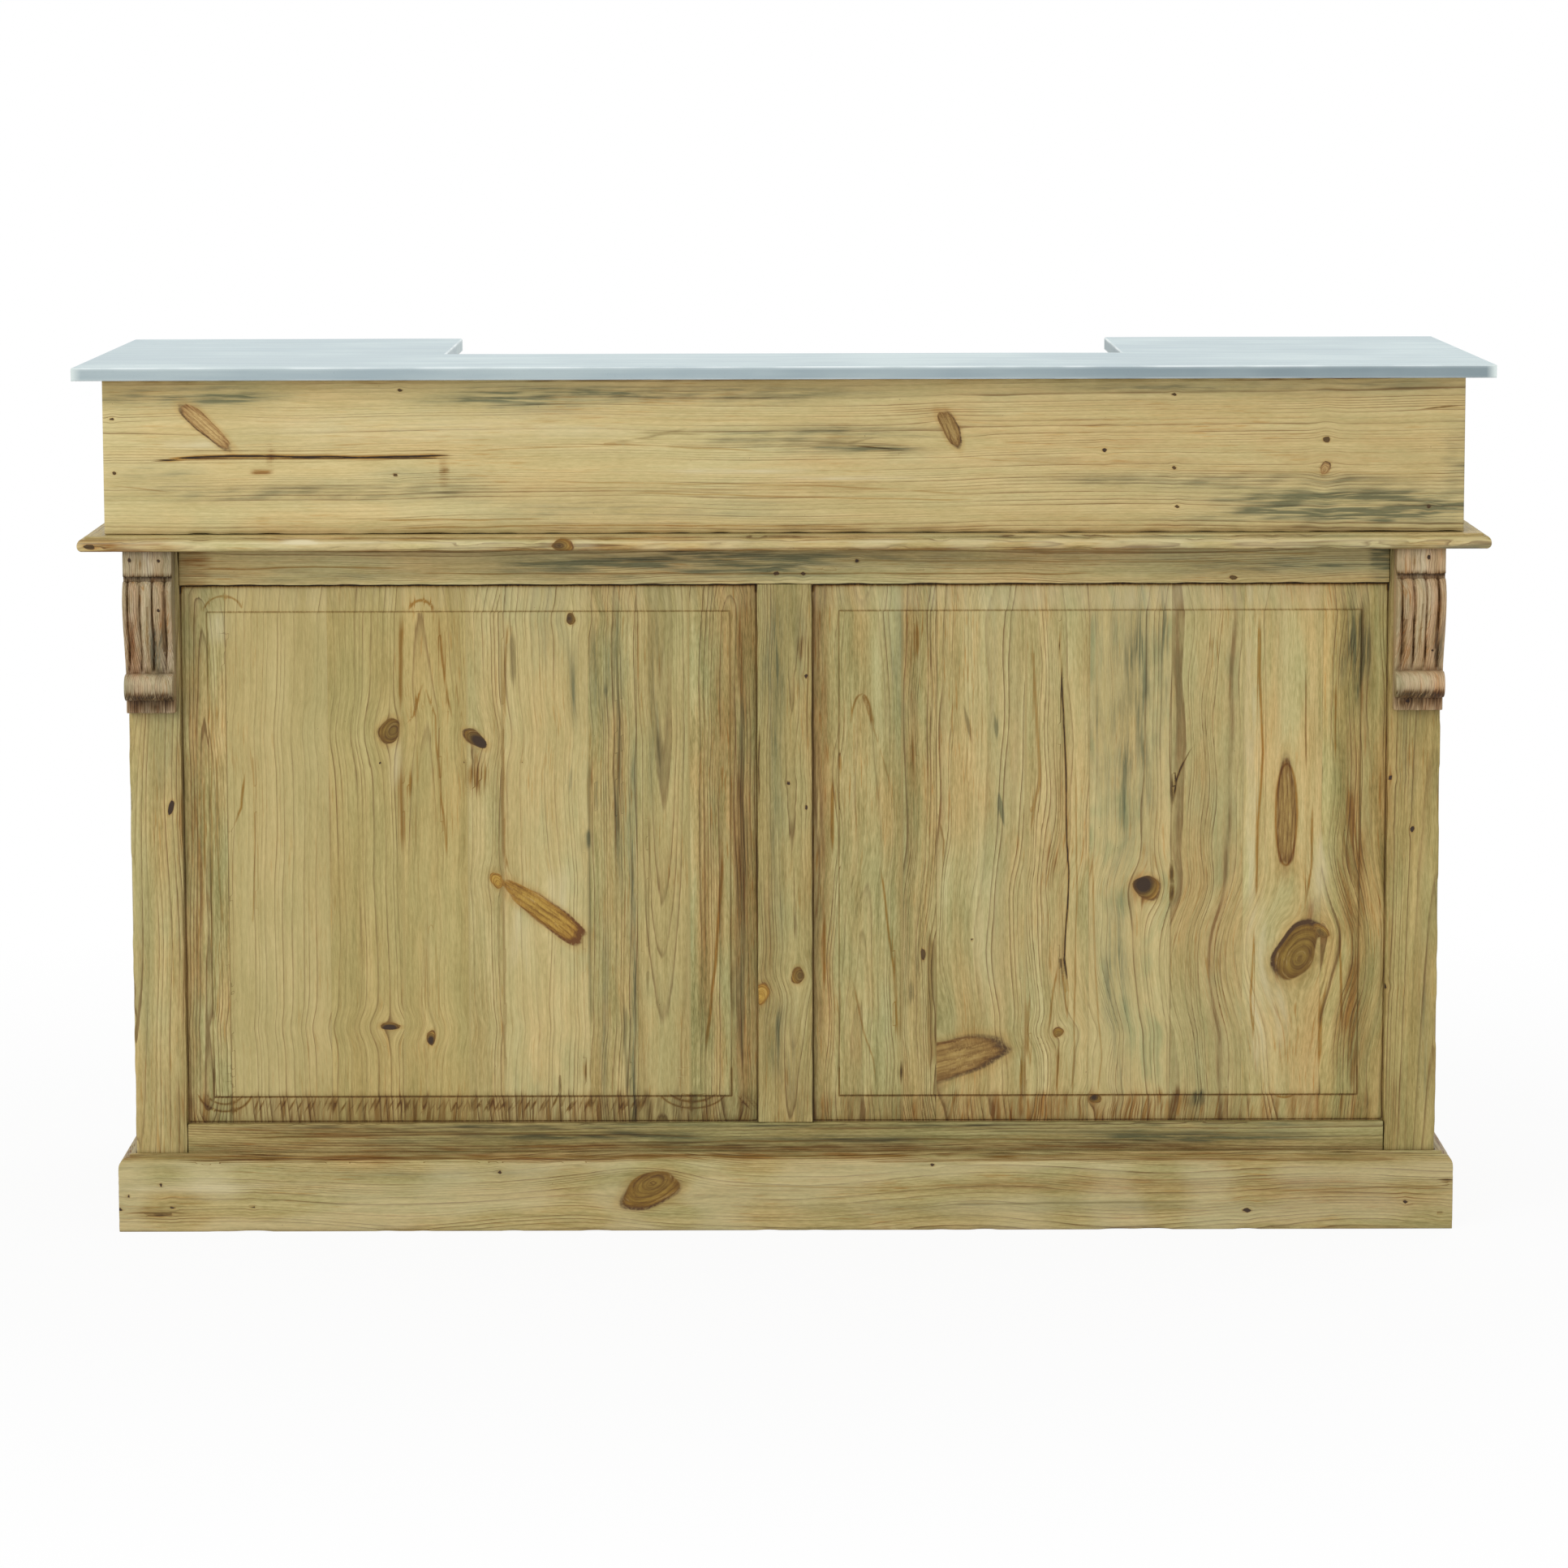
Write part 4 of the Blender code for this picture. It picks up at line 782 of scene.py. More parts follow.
def cuts(low, high, step, marks=()):
    """Places from low to high through every mark, in equal steps no longer than `step` between them."""
    marks = sorted({low, high, *(float(m) for m in marks if low < m < high)})
    runs = [np.linspace(a, b, max(1, math.ceil((b - a) / step)) + 1)[:-1] for a, b in zip(marks, marks[1:])]
    return np.concatenate([*runs, [high]])


def edge_marks(low, high, bevel):
    """Where a raised panel's section turns: the bevel's foot and head, and the rounded step."""
    head = PANEL_EDGE + bevel
    reach = (PANEL_EDGE, head, *(head + s for s in (0.0004, 0.0010, SHOULDER)))
    return [low + r for r in reach] + [high - r for r in reach]


def panel(node, body, out, bevel=BEVEL, rise=0.006, step=0.003, grain_step=0.0034, planks=(),
          heart=(0, 0.03), lean=0.02, spacing=0.003, **marks):
    """A raised panel whose face sinks with the distance e from its edge: level at the tongue, sloping up
    the bevel, then a rounded step to the field. Glue joints are open by a hair."""
    (a0, c0, d0), (a1, c1, d1), ways, origin, seed = lie(node, out, "z")
    joints = [row[0] for row in planks[1:] if row[1] > 0.02]
    marks_c = edge_marks(c0, c1, bevel) + [j + s for j in joints for s in (-JOINT_WIDTH, 0.0, JOINT_WIDTH)]
    front = cuts(c0, c1, step, marks_c)
    back = cuts(c0, c1, 0.010)[::-1]
    line = np.concatenate([front, back])
    is_front = np.arange(len(line)) < len(front)
    places = cuts(a0, a1, grain_step, edge_marks(a0, a1, bevel))
    a, c = np.meshgrid(places, line, indexing="ij")
    e = np.minimum(np.minimum(c - c0, c1 - c), np.minimum(a - a0, a1 - a))
    slope = np.clip((e - PANEL_EDGE) / bevel, 0, 1)
    step_up = np.clip((e - PANEL_EDGE - bevel) / SHOULDER, 0, 1)
    sink = rise * (1 - slope) + SHOULDER * (1 - np.sin(step_up * math.pi / 2))
    warp = 0.00025 * (1 + drift(seed, 0.09, a / 4, c)) * np.clip(e / 0.05, 0, 1)
    for j in joints:
        warp = warp + 0.0002 * np.clip(1 - np.abs(c - j) / JOINT_WIDTH, 0, 1)
    d = np.where(is_front, sink + warp, d1 - d0)
    # Painted shadow lines: one under the field's step, stronger near the panel's foot, and one at the
    # frame's edge, a dark joint with painted shadow, strongest under the top rail.
    shaded_seams = [
        (e - PANEL_EDGE - bevel + 0.0004, is_front * np.where(a < a0 + 0.08, 1.1, 0.6), 0.5),
        (e - PANEL_EDGE - 0.0012, is_front * np.where(a1 - a < 0.02, 1.9, 0.9), 0.75),
    ]
    fields = grain_fields(a, c, d, heart, lean, spacing, seed, planks=planks, shaded_seams=shaded_seams, **marks)
    piece = put_skin(f"{node}_wood", np.stack([a, c, d], axis=-1) @ ways + origin, fields)
    finish(piece, body, "waxed_pine", node)


def strokes(low, high, lean):
    """Short dark lines, 6 to 11 mm apart, where the plane cut the grain short at the panel's foot."""
    draw = np.random.default_rng(9)
    places = low + np.cumsum(draw.uniform(0.006, 0.011, math.ceil((high - low) / 0.0085)))
    return [
        (draw.uniform(0.146, 0.153), x + lean, draw.uniform(0.166, 0.178), x, draw.uniform(0.4, 1.5), 0.4)
        for x in places
    ]


def arcs(centre, half_length, longer, half_width, wider, strong, stronger):
    """Three nested arcs at the panel's foot, each longer, wider and more or less strong than the last."""
    return [
        (*centre, half_length + longer * k, half_width + wider * k, strong + stronger * k, 0.3, 0.146, 0.178)
        for k in range(3)
    ]


panel(
    "front_panel_left", "carcass", "-y",
    planks=[
        (-0.79, 0.0, -0.22, -0.745, 0.01, 0.012, 0.005, 1.3, 0.2),
        (-0.7165, 0.45, -0.12, -0.5, 0.08, 0.01, 0.0062, 0.6, 0.25),
        (-0.5864, 0.05, -0.18, -0.38, 0.06, -0.008, 0.0068, 0.75, -0.45),
        (-0.4925, 0.0, -0.19, -0.465, 0.002, 0.03, 0.07, 0.8, -0.5),
        (-0.407, 0.0, -0.12, -0.3, 0.06, 0.01, 0.005, 1.0, 0.4),
        (-0.3627, 0.0, -0.02, -0.15, 0.06, 0.01, 0.0056, 0.8, 2.0),
        (-0.2525, 0.1, -0.18, -0.05, 0.06, 0.012, 0.0046, 1.2, 1.7),
        (-0.19, 0.25, -0.19, -0.158, -0.045, 0.052, 0.01, 0.9, 1.4),
        (-0.1221, 0.02, -0.24, -0.07, 0.008, 0.006, 0.005, 1.4, 0.8),
    ],
    knots=[
        (0.65, -0.5075, 0.0175, 0.0125, 35, 0.35, 0.35, 0.0),
        (0.64, -0.3975, 0.0165, 0.009, -55, 1.4, 0.8, 0.1, 1.6, 0),
        (0.4157, -0.311, 0.057, 0.015, -55, 0.12, 1.4, 0.7, 1.0, 180),
        (0.4559, -0.3716, 0.012, 0.007, -25, 0.0, 0.0, 0.7), (0.2655, -0.511, 0.005, 0.0125, 0, 1.4),
        (0.25, -0.458, 0.009, 0.006, 0, 1.2, 0.8, 0.5), (0.794, -0.2735, 0.0075, 0.006, 0, 0.8, 0.0, 0.0),
        (0.6088, -0.5199, 0.0016, 0.0016, 0, 1.2), (0.6099, -0.4117, 0.0018, 0.0018, 0, 1.2),
        (0.6099, -0.3377, 0.0018, 0.0018, 0, 1.2), (0.6813, -0.4647, 0.0016, 0.0016, 0, 1.2),
    ],
    lines=[
        (0.669, -0.4965, 0.689, -0.4925, 0.75, -0.491, 0.803, -0.4889, 1.2, 0.1),
        (0.661, -0.4257, 0.689, -0.4316, 0.738, -0.4377, 0.803, -0.4437, 1.2, 0.1),
        (0.651, -0.4097, 0.681, -0.4177, 0.734, -0.4236, 0.6, 0.0),
        (0.655, -0.4897, 0.6695, -0.4765, 0.6935, -0.4697, 0.714, -0.4629, 1.5, 0.0),
        (0.468, -0.4337, 0.528, -0.4377, 0.5805, -0.4429, 0.629, -0.447, 0.6695, -0.4485, 0.6915, -0.4557,
         0.714, -0.4629, 1.0, 0.0),
        (0.428, -0.4717, 0.528, -0.4752, 0.589, -0.4717, 0.637, -0.4725, 0.657, -0.4817, 0.55, 0.0),
        (0.488, -0.4918, 0.613, -0.4939, 1.0, 0.0), (0.556, -0.481, 0.606, -0.4806, 1.3, 0.0),
        (0.573, -0.4033, 0.613, -0.4028, 1.2, 0.1), (0.56, -0.3955, 0.617, -0.3945, 1.4, 0.3),
        (0.565, -0.386, 0.62, -0.3852, 1.0, 0.1), (0.56, -0.376, 0.69, -0.3715, 0.76, -0.3678, 0.45, 0.0),
        (0.452, -0.347, 0.468, -0.3556, 0.496, -0.3617, 0.5485, -0.3627, 0.645, -0.3606, 0.7376, -0.3575,
         0.802, -0.3535, 0.8, 0.2), (0.19, -0.3627, 0.437, -0.3627, 0.45, 0.4),
        (0.225, -0.1028, 0.276, -0.0983, 0.337, -0.0912, 0.453, -0.082, 0.5, -0.081, 1.5, 0.0),
        (0.175, -0.136, 0.3, -0.133, 0.5, 0.0), (0.688, -0.229, 0.716, -0.23, 1.2, -0.8),
        (0.553, -0.275, 0.621, -0.276, 1.3, -0.8), (0.26, -0.25, 0.45, -0.252, 0.62, -0.25, 0.9, -0.7),
        (0.5, -0.215, 0.66, -0.212, 0.78, -0.217, 1.2, -0.7), (0.16, -0.205, 0.31, -0.208, 1.6, -0.7),
        (0.3, -0.177, 0.55, -0.174, 0.9, -0.5), (0.2, -0.056, 0.45, -0.053, 0.7, -0.055, 1.6, -0.7),
        (0.528, -0.241, 0.613, -0.2415, 0.9, -0.9), (0.7, -0.347, 0.787, -0.349, 1.8, -0.6),
        (0.59, -0.16, 0.66, -0.164, 1.3, -0.6), (0.267, -0.068, 0.36, -0.068, 1.8, -0.5),
        (0.185, -0.26, 0.23, -0.2617, 1.2, 0.6), (0.3, -0.2617, 0.42, -0.2617, 0.4, 0.0),
        (0.16, -0.29, 0.215, -0.2925, 0.8, 1.0),
        (0.5198, -0.7125, 0.5502, -0.699, 0.6036, -0.6927, 1.3, 0.0), (0.35, -0.74, 0.7, -0.735, 0.7, 0.0),
        (0.45, -0.748, 0.6, -0.746, 1.0, 0.1), *strokes(-0.69, -0.19, -0.012),
        *strokes(-0.074, -0.05, 0.02),
    ],
    loops=[
        (0.8025, -0.465, 0.0155, 0.0155, 1.4, 0.0, 0.803, 0.83),
        (0.8, -0.7185, 0.024, 0.026, 1.0, 0.0, 0.803, 0.83),
        (0.54, -0.706, 0.24, 0.024, 0.7, 0.0, 0.4, 0.62),
        *arcs((0.183, -0.12), 0.009, 0.009, 0.02, 0.012, 1.4, -0.2),
        *arcs((0.183, -0.726), 0.01, 0.01, 0.014, 0.011, 0.8, 0.2),
        (0.268, -0.4565, 0.13, 0.009, 0.45, 0.0, 0.27, 0.42),
    ],
    # The wide grey and brown bands at 0.155 along are painted shade on the bottom bevel, which faces down;
    # the wide pale band at 0.822 is painted light on the top bevel.
    grey=[
        (0.72, -0.235, 0.07, 0.018, 0.45), (0.68, -0.165, 0.12, 0.01, 0.4),
        (0.42, -0.197, 0.26, 0.0055, 0.75), (0.8, -0.3, 0.06, 0.02, 0.25), (0.72, -0.272, 0.06, 0.006, 0.5),
        (0.45, -0.06, 0.3, 0.006, 0.3), (0.155, -0.14, 0.02, 0.05, 0.3), (0.155, -0.4, 0.02, 0.5, 0.22),
        (0.506, -0.2555, 0.012, 0.007, 0.7), (0.6, -0.215, 0.2, 0.006, 0.5),
        (0.3, -0.235, 0.14, 0.007, 0.35),
    ],
    brown=[
        (0.4, -0.105, 0.16, 0.006, 0.5), (0.6, -0.085, 0.28, 0.01, 0.4), (0.5, -0.055, 0.38, 0.012, 0.6),
        (0.48, -0.758, 0.33, 0.011, 0.6), (0.155, -0.42, 0.02, 0.5, 0.65), (0.52, -0.366, 0.1, 0.006, 0.4),
        (0.6, -0.397, 0.03, 0.012, 0.4), (0.56, -0.487, 0.06, 0.01, 0.3),
    ],
    pale=[
        (0.822, -0.42, 0.018, 0.5, 0.15), (0.44, -0.29, 0.03, 0.012, 0.5), (0.38, -0.345, 0.04, 0.012, 0.4),
        (0.785, -0.725, 0.02, 0.012, 0.5), (0.61, -0.5, 0.03, 0.006, 0.5),
    ],
)
panel(
    "front_panel_right", "carcass", "-y", wave=3.0,
    planks=[
        (0.02, 0.0, -0.19, 0.1, 0.0, -0.04, 0.0105, 1.2, 0.8),
        (0.15, 0.0, -0.24, 0.3, 0.06, 0.012, 0.005, 1.3, 1.2),
        (0.1948, 0.3, -0.12, 0.36, 0.05, 0.012, 0.0085, 1.1, 0.4),
        (0.31, 0.0, -0.07, 0.2, 0.04, -0.015, 0.009, 1.1, 0.8),
        (0.3915, 0.15, 0.02, 0.56, 0.045, 0.012, 0.0055, 0.8, 3.4),
        (0.4966, 0.3, -0.09, 0.4, 0.03, 0.01, 0.011, 1.0, 2.6),
        (0.5895, 0.05, -0.02, 0.665, 0.06, -0.012, 0.011, 1.2, -0.3),
        (0.69, 0.1, -0.19, 0.6, 0.05, 0.012, 0.009, 1.3, -0.6),
    ],
    knots=[
        (0.4446, 0.4664, 0.016, 0.0165, 40, 1.2, 0.6, 0.4),
        (0.539, 0.645, 0.064, 0.0125, 0, 0.0, 0.25, -0.25, 1.6, 0),
        (0.3602, 0.6595, 0.038, 0.025, 30, 0.15, 1.6, 0.0, 2.4, 290),
        (0.387, 0.692, 0.013, 0.006, -50, 0.7, 0.6, 0.5), (0.358, 0.1782, 0.0075, 0.003, 0, 0.8, 0.5, 0.7),
        (0.2554, 0.3526, 0.0065, 0.0065, 0, 0.5, 0.9, 0.5, 2.6),
        (0.22, 0.201, 0.079, 0.024, 77, 0.0, 0.8, -0.3, 0.8, 20), (0.1675, 0.4013, 0.006, 0.0075, 0, 1.3),
        (0.3767, 0.2411, 0.0022, 0.002, 0, 1.2),
    ],
    lines=[
        (0.5194, 0.2837, 0.5769, 0.2727, 2.2, -0.9), (0.6277, 0.2419, 0.6873, 0.2286, 1.8, -0.6),
        (0.6321, 0.2734, 0.6742, 0.2692, 1.6, -0.8), (0.462, 0.2025, 0.506, 0.2046, 0.544, 0.197, 0.9, 0.3),
        (0.31, 0.366, 0.352, 0.3605, 0.395, 0.3627, 0.465, 0.3657, 0.506, 0.3629, 0.639, 0.3598, 0.7585,
         0.3525, 0.8, 0.356, 1.15, 1.0), (0.736, 0.1703, 0.798, 0.17, 1.8, 0.0),
        (0.585, 0.165, 0.657, 0.1645, 1.0, 0.0), (0.506, 0.3146, 0.595, 0.3275, 0.749, 0.319, 0.8, 0.0),
        (0.24, 0.1457, 0.33, 0.1411, 0.395, 0.1328, 0.456, 0.1253, 0.478, 0.1218, 1.2, 0.0),
        (0.181, 0.1197, 0.221, 0.113, 0.251, 0.1024, 0.295, 0.0936, 0.33, 0.0849, 0.8, 0.0),
        (0.559, 0.1406, 0.639, 0.1187, 0.69, 0.101, 0.6, 0.0), (0.42, 0.4978, 0.454, 0.4998, 1.5, 0.5),
        (0.444, 0.498, 0.48, 0.4992, 1.3, 0.6),
        (0.544, 0.4984, 0.582, 0.5025, 0.598, 0.5077, 0.619, 0.5187, 0.63, 0.5263, 1.3, 0.9),
        (0.588, 0.6699, 0.732, 0.668, 0.8, 0.5),
        (0.5418, 0.3167, 0.5769, 0.3275, 0.63, 0.3254, 0.7716, 0.3167, 0.9, 0.0),
        (0.1984, 0.319, 0.2423, 0.3127, 0.317, 0.317, 0.9, 0.1), (0.16, 0.352, 0.249, 0.3526, 1.3, 0.3),
        (0.25, 0.34, 0.31, 0.346, 0.353, 0.354, 1.0, 0.0),
        (0.26, 0.366, 0.31, 0.361, 0.353, 0.3545, 1.0, 0.0),
        (0.16, 0.372, 0.45, 0.376, 0.6, 0.374, 0.8, 0.1), (0.186, 0.1509, 0.221, 0.1505, 1.0, 1.0),
        (0.2, 0.1869, 0.395, 0.1865, 2.4, -0.35), (0.286, 0.1619, 0.33, 0.1617, 1.6, -0.7),
        (0.16, 0.3055, 0.238, 0.305, 1.3, 0.1),
        (0.42, 0.6064, 0.52, 0.6085, 0.62, 0.6143, 0.72, 0.609, 0.8, 0.6085, 1.3, 0.0),
        (0.22, 0.608, 0.3, 0.601, 0.4, 0.606, 1.1, 0.0),
        (0.16, 0.4036, 0.22, 0.4088, 0.33, 0.4008, 0.5, 0.3952, 0.7, 0.0),
        (0.2, 0.69, 0.28, 0.693, 0.33, 0.701, 1.1, 0.0), (0.42, 0.67, 0.47, 0.678, 0.56, 0.679, 1.2, 0.1),
        (0.483, 0.0614, 0.594, 0.061, 1.8, 0.0), (0.3, 0.05, 0.42, 0.051, 1.5, 0.0),
        (0.6, 0.7074, 0.72, 0.707, 1.2, 0.0), (0.25, 0.72, 0.4, 0.715, 1.2, 0.0),
    ],
    loops=[
        (0.539, 0.645, 0.066, 0.0135, 1.2, 0.0, 0.46, 0.61),
        (0.65, 0.0989, 0.0463, 0.014, 1.1, 0.1, 0.655, 0.7),
        (0.183, 0.646, 0.014, 0.018, 1.2, 0.0, 0.15, 0.176),
    ],
    # The wide brown band at 0.155 along is painted shade on the bottom bevel, which faces down; the wide
    # pale band at 0.822 is painted light on the top bevel.
    grey=[
        (0.66, 0.448, 0.16, 0.032, 0.62), (0.7, 0.4, 0.12, 0.01, 0.3), (0.72, 0.488, 0.1, 0.006, 0.5),
        (0.38, 0.425, 0.12, 0.016, 0.3), (0.26, 0.43, 0.12, 0.016, 0.3), (0.755, 0.733, 0.05, 0.016, 1.4),
        (0.1675, 0.5344, 0.01, 0.012, 1.0), (0.6, 0.27, 0.22, 0.012, 0.15), (0.72, 0.145, 0.09, 0.02, 0.35),
    ],
    brown=[
        (0.5, 0.16, 0.2, 0.01, 0.35), (0.45, 0.05, 0.36, 0.012, 0.35), (0.5, 0.355, 0.2, 0.01, 0.25),
        (0.155, 0.42, 0.02, 0.5, 0.65), (0.4, 0.545, 0.3, 0.04, 0.22), (0.38, 0.725, 0.22, 0.02, 0.38),
        (0.45, 0.735, 0.36, 0.014, 0.5), (0.52, 0.6445, 0.055, 0.009, 0.4), (0.41, 0.68, 0.02, 0.012, 0.5),
        (0.47, 0.341, 0.03, 0.006, 0.6), (0.4716, 0.354, 0.012, 0.008, 0.7), (0.44, 0.452, 0.02, 0.01, 0.5),
    ],
    pale=[
        (0.822, 0.42, 0.018, 0.5, 0.3), (0.6, 0.6, 0.22, 0.008, 0.5), (0.3, 0.612, 0.1, 0.016, 0.5),
        (0.3, 0.64, 0.06, 0.01, 0.5), (0.45, 0.69, 0.05, 0.01, 0.5), (0.4, 0.255, 0.1, 0.014, 0.15),
    ],
)


# The ends: each framed like the front, between the corner post and a rear stile, with one raised panel.
# The photograph doesn't show them, so their knots and stains are made up in the same manner.

for side, out in (("left", "-x"), ("right", "+x")):
    shift = 0.11 if side == "left" else -0.07
    board(f"end_{side}_rear_stile", "carcass", out, "z", step=0.004, notches=[(0, *PANEL_NOTCH)],
          knots=[(0.4 + shift, 0.29, 0.008, 0.006, 0, 0.8)],
          grey=[(0.6, 0.3, 0.15, 0.008, 0.4)], brown=[(0.2, 0.28, 0.12, 0.01, 0.4)])
    board(f"end_{side}_top_rail", "carcass", out, "y", step=0.004, notches=[(0, *PANEL_NOTCH)],
          grey=[(0.0, 0.865, 0.14, 0.012, 0.6)], brown=[(0.0, 0.884, 0.4, 0.006, 0.4)])
    board(f"end_{side}_bottom_rail", "carcass", out, "y", step=0.004, notches=[(1, *PANEL_NOTCH)],
          grey=[(0.08, 0.122, 0.12, 0.01, 0.6)], brown=[(0.0, 0.106, 0.4, 0.008, 0.8)])
    panel(
        f"end_{side}_panel", "carcass", out, step=0.004, grain_step=0.0045,
        planks=[
            (-0.24, 0.0, -0.22, -0.19, 0.006, 0.014, 0.005, 1.2, 0.8),
            (-0.115, 0.25, -0.14, 0.05, 0.05, -0.014, 0.0062, 0.8, 0.8),
            (0.02 + shift / 4, 0.15, -0.2, 0.07, -0.005, 0.04, 0.012, 1.0, 0.8),
            (0.14, 0.3, -0.12, 0.3, 0.05, 0.012, 0.0056, 1.0, 0.8),
        ],
        knots=[
            (0.58 + shift, -0.05, 0.02, 0.014, -30, 0.5), (0.33 - shift, 0.1, 0.024, 0.016, 15, 0.3),
            (0.24, -0.17, 0.008, 0.006, 0, 1.0),
        ],
        grey=[(0.5, 0.17, 0.25, 0.015, 0.5), (0.7, -0.1, 0.1, 0.015, 0.4)],
        # The wide brown band at 0.15 along is painted shade on the bottom bevel.
        brown=[(0.15, 0.0, 0.02, 0.36, 0.9), (0.5, -0.19, 0.3, 0.012, 0.4)],
        lines=[
            (0.45, 0.06, 0.6, 0.066, 0.78, 0.064, 0.7, 0.6),
            (0.5 + shift, -0.03, 0.56 + shift, -0.035, 1.4, 0.1), (0.25, 0.155, 0.42, 0.152, 1.5, 0.0),
            (0.62, -0.155, 0.7, -0.15, 1.6, -0.7),
        ],
    )


# The cornice and the plinth: mouldings run in pine, a thumb nosing round the deck and a skirting with a
# quarter round on top, each mitred at the front corners. Their noses are knocked and rubbed pale. Along the
# cornice's front a pale line on the nose is partly wear and partly painted highlight, and a brown line along
# its underside is painted shade.


def moulding(node, out, run, section, steps, radii, ease_c, mitre_end, wear, spacing, heart, **marks):
    """A moulded section carried along the run. A mitred end is cut at 45 degrees, so that the length
    grows with the distance from the back of the moulding. The low end is always mitred."""
    (a0, c0, _), (a1, _, _), ways, origin, seed = lie(node, out, run)
    outline, worn = eased(section, radii, steps)
    outline = outline + np.array([c0, 0.0])
    places, inset = stations(0.0, 1.0, 0.006 / (a1 - a0), 0.0006)
    t, c = np.meshgrid(places, outline[:, 0], indexing="ij")
    d = np.broadcast_to(outline[:, 1], t.shape)
    start = a0 + d
    end = a1 - (d if mitre_end else 0)
    a = start + (end - start) * t
    normal = outward(outline)
    knocks = np.clip(drift(seed + 8, 0.05, a, c * 4) - 0.35, 0, 1) * 1.6
    loss = (0.25 + knocks) * wear * (worn * 0.6 + (d < ease_c) * 0.4)
    c = c - loss * normal[:, 0]
    d = d - loss * normal[:, 1]
    fields = grain_fields(a, c, d, heart, 0.006, spacing, seed, **marks)
    grey, brown, pale = fields["stain_and_shade"]
    rubbed = 0.45 * np.clip(1 - d / 0.006, 0, 1) * np.clip(0.5 + drift(seed + 9, 0.08, a, c), 0, 1)
    fields["stain_and_shade"] = (grey, brown, pale + rubbed)
    piece = put_skin(f"{node}_wood", np.stack([a, c, d], axis=-1) @ ways + origin, fields)
    finish(piece, "carcass", "waxed_pine", node)


def nose(count, radius_out, radius_up, centre, first, last):
    """Points of an ellipse arc from angle first to last in degrees: 0 is straight out, 90 straight up."""
    angle = np.radians(np.linspace(first, last, count))
    return list(zip(centre + radius_up * np.sin(angle), radius_out * (1 - np.cos(angle))))


CORNICE = (
    [(0.0, 0.07), (0.0, 0.006)]
    + nose(7, 0.006, 0.0075, 0.0075, -80, 0)
    + nose(7, 0.006, 0.0088, 0.0075, 12, 84)
    + [(0.0163, 0.006), (0.0163, 0.0092), (0.0195, 0.0092), (0.0195, 0.07)]
)
PLINTH = (
    [(0.0, 0.0211), (0.0, 0.0)]
    + nose(8, 0.0134, 0.0134, 0.0841, 0, 88)
    + [(0.0975, 0.0134), (0.1005, 0.0134), (0.1005, 0.0211)]
)
CORNICE_STEPS = [0.004] * len(CORNICE)
PLINTH_STEPS = [0.006, 0.0035] + [0.003] * (len(PLINTH) - 2)
CORNICE_RADII = [0.0003] * 2 + [0.0002] * 14 + [0.0003, 0.0003, 0.0008, 0.0003]
PLINTH_RADII = [0.0003, 0.0015] + [0.0002] * 8 + [0.0003, 0.0008, 0.0003]
CORNICE_FRONT = dict(
    knots=[
        (-0.281, 0.8935, 0.014, 0.0075, 0, 0.75, 0.8, 0.6), (-0.881, 0.893, 0.007, 0.003, 0, 0.8, 0.6, 0.1),
    ],
    grey=[
        (0.6, 0.888, 0.25, 0.003, 0.35), (0.5, 0.902, 0.3, 0.002, 0.4), (0.885, 0.8885, 0.06, 0.004, 0.8),
    ],
    # The full-length brown line at 0.886 is painted shade along the cornice's underside.
    brown=[
        (-0.3, 0.89, 0.1, 0.004, 0.6), (-0.84, 0.892, 0.06, 0.01, 0.8), (0.0, 0.886, 0.95, 0.0022, 0.9),
        (0.25, 0.889, 0.25, 0.004, 0.35), (-0.2, 0.902, 0.5, 0.002, 0.5),
    ],
    # The full-length pale line at 0.8975 is partly wear and partly painted highlight on the nose.
    pale=[(-0.613, 0.899, 0.02, 0.003, 1.3), (0.0, 0.8975, 0.95, 0.0012, 0.5)],
)
CORNICE_END = dict(grey=[(0.1, 0.89, 0.1, 0.004, 0.5)], brown=[(-0.1, 0.889, 0.1, 0.004, 0.4)])
PLINTH_FRONT = dict(
    knots=[
        (-0.1755, 0.054, 0.04, 0.0205, 27, 0.25, 0.9, 0.15, 0.9), (0.597, 0.0255, 0.006, 0.003, 0, 1.4),
        *nails(0.0035, 0.0024, 1.1, (-0.809, 0.062), (-0.851, 0.0475), (-0.86, 0.03), (-0.793, 0.032),
               (-0.69, 0.033), (0.802, 0.036), (0.8465, 0.021), (-0.37, 0.078), (0.19, 0.086)),
    ],
    grey=[(-0.45, 0.075, 0.25, 0.008, 0.3), (0.35, 0.03, 0.3, 0.006, 0.35)],
    brown=[
        (0.0, 0.096, 0.9, 0.004, 0.75), (0.5, 0.06, 0.3, 0.01, 0.35), (0.72, 0.045, 0.12, 0.02, 0.3),
        (-0.8, 0.026, 0.05, 0.01, 0.2),
    ],
    pale=[(-0.72, 0.06, 0.1, 0.01, 0.4)],
    lines=[
        (0.62, 0.05, 0.86, 0.058, 0.6, 0.3), (-0.86, 0.026, -0.76, 0.0245, 0.8, 0.7),
        (-0.83, 0.0215, -0.79, 0.021, 1.0, 0.9), (-0.79, 0.0935, -0.5, 0.095, -0.2, 0.093, 0.9, 0.6),
        (0.1, 0.09, 0.45, 0.0925, 0.8, 0.0905, 0.8, 0.4), (0.2, 0.034, 0.55, 0.037, 0.9, -0.6),
        (-0.09, 0.06, 0.1, 0.056, 0.3, 0.061, 0.5, 0.0), (0.84, 0.066, 0.87, 0.064, 1.2, 0.8),
    ],
)
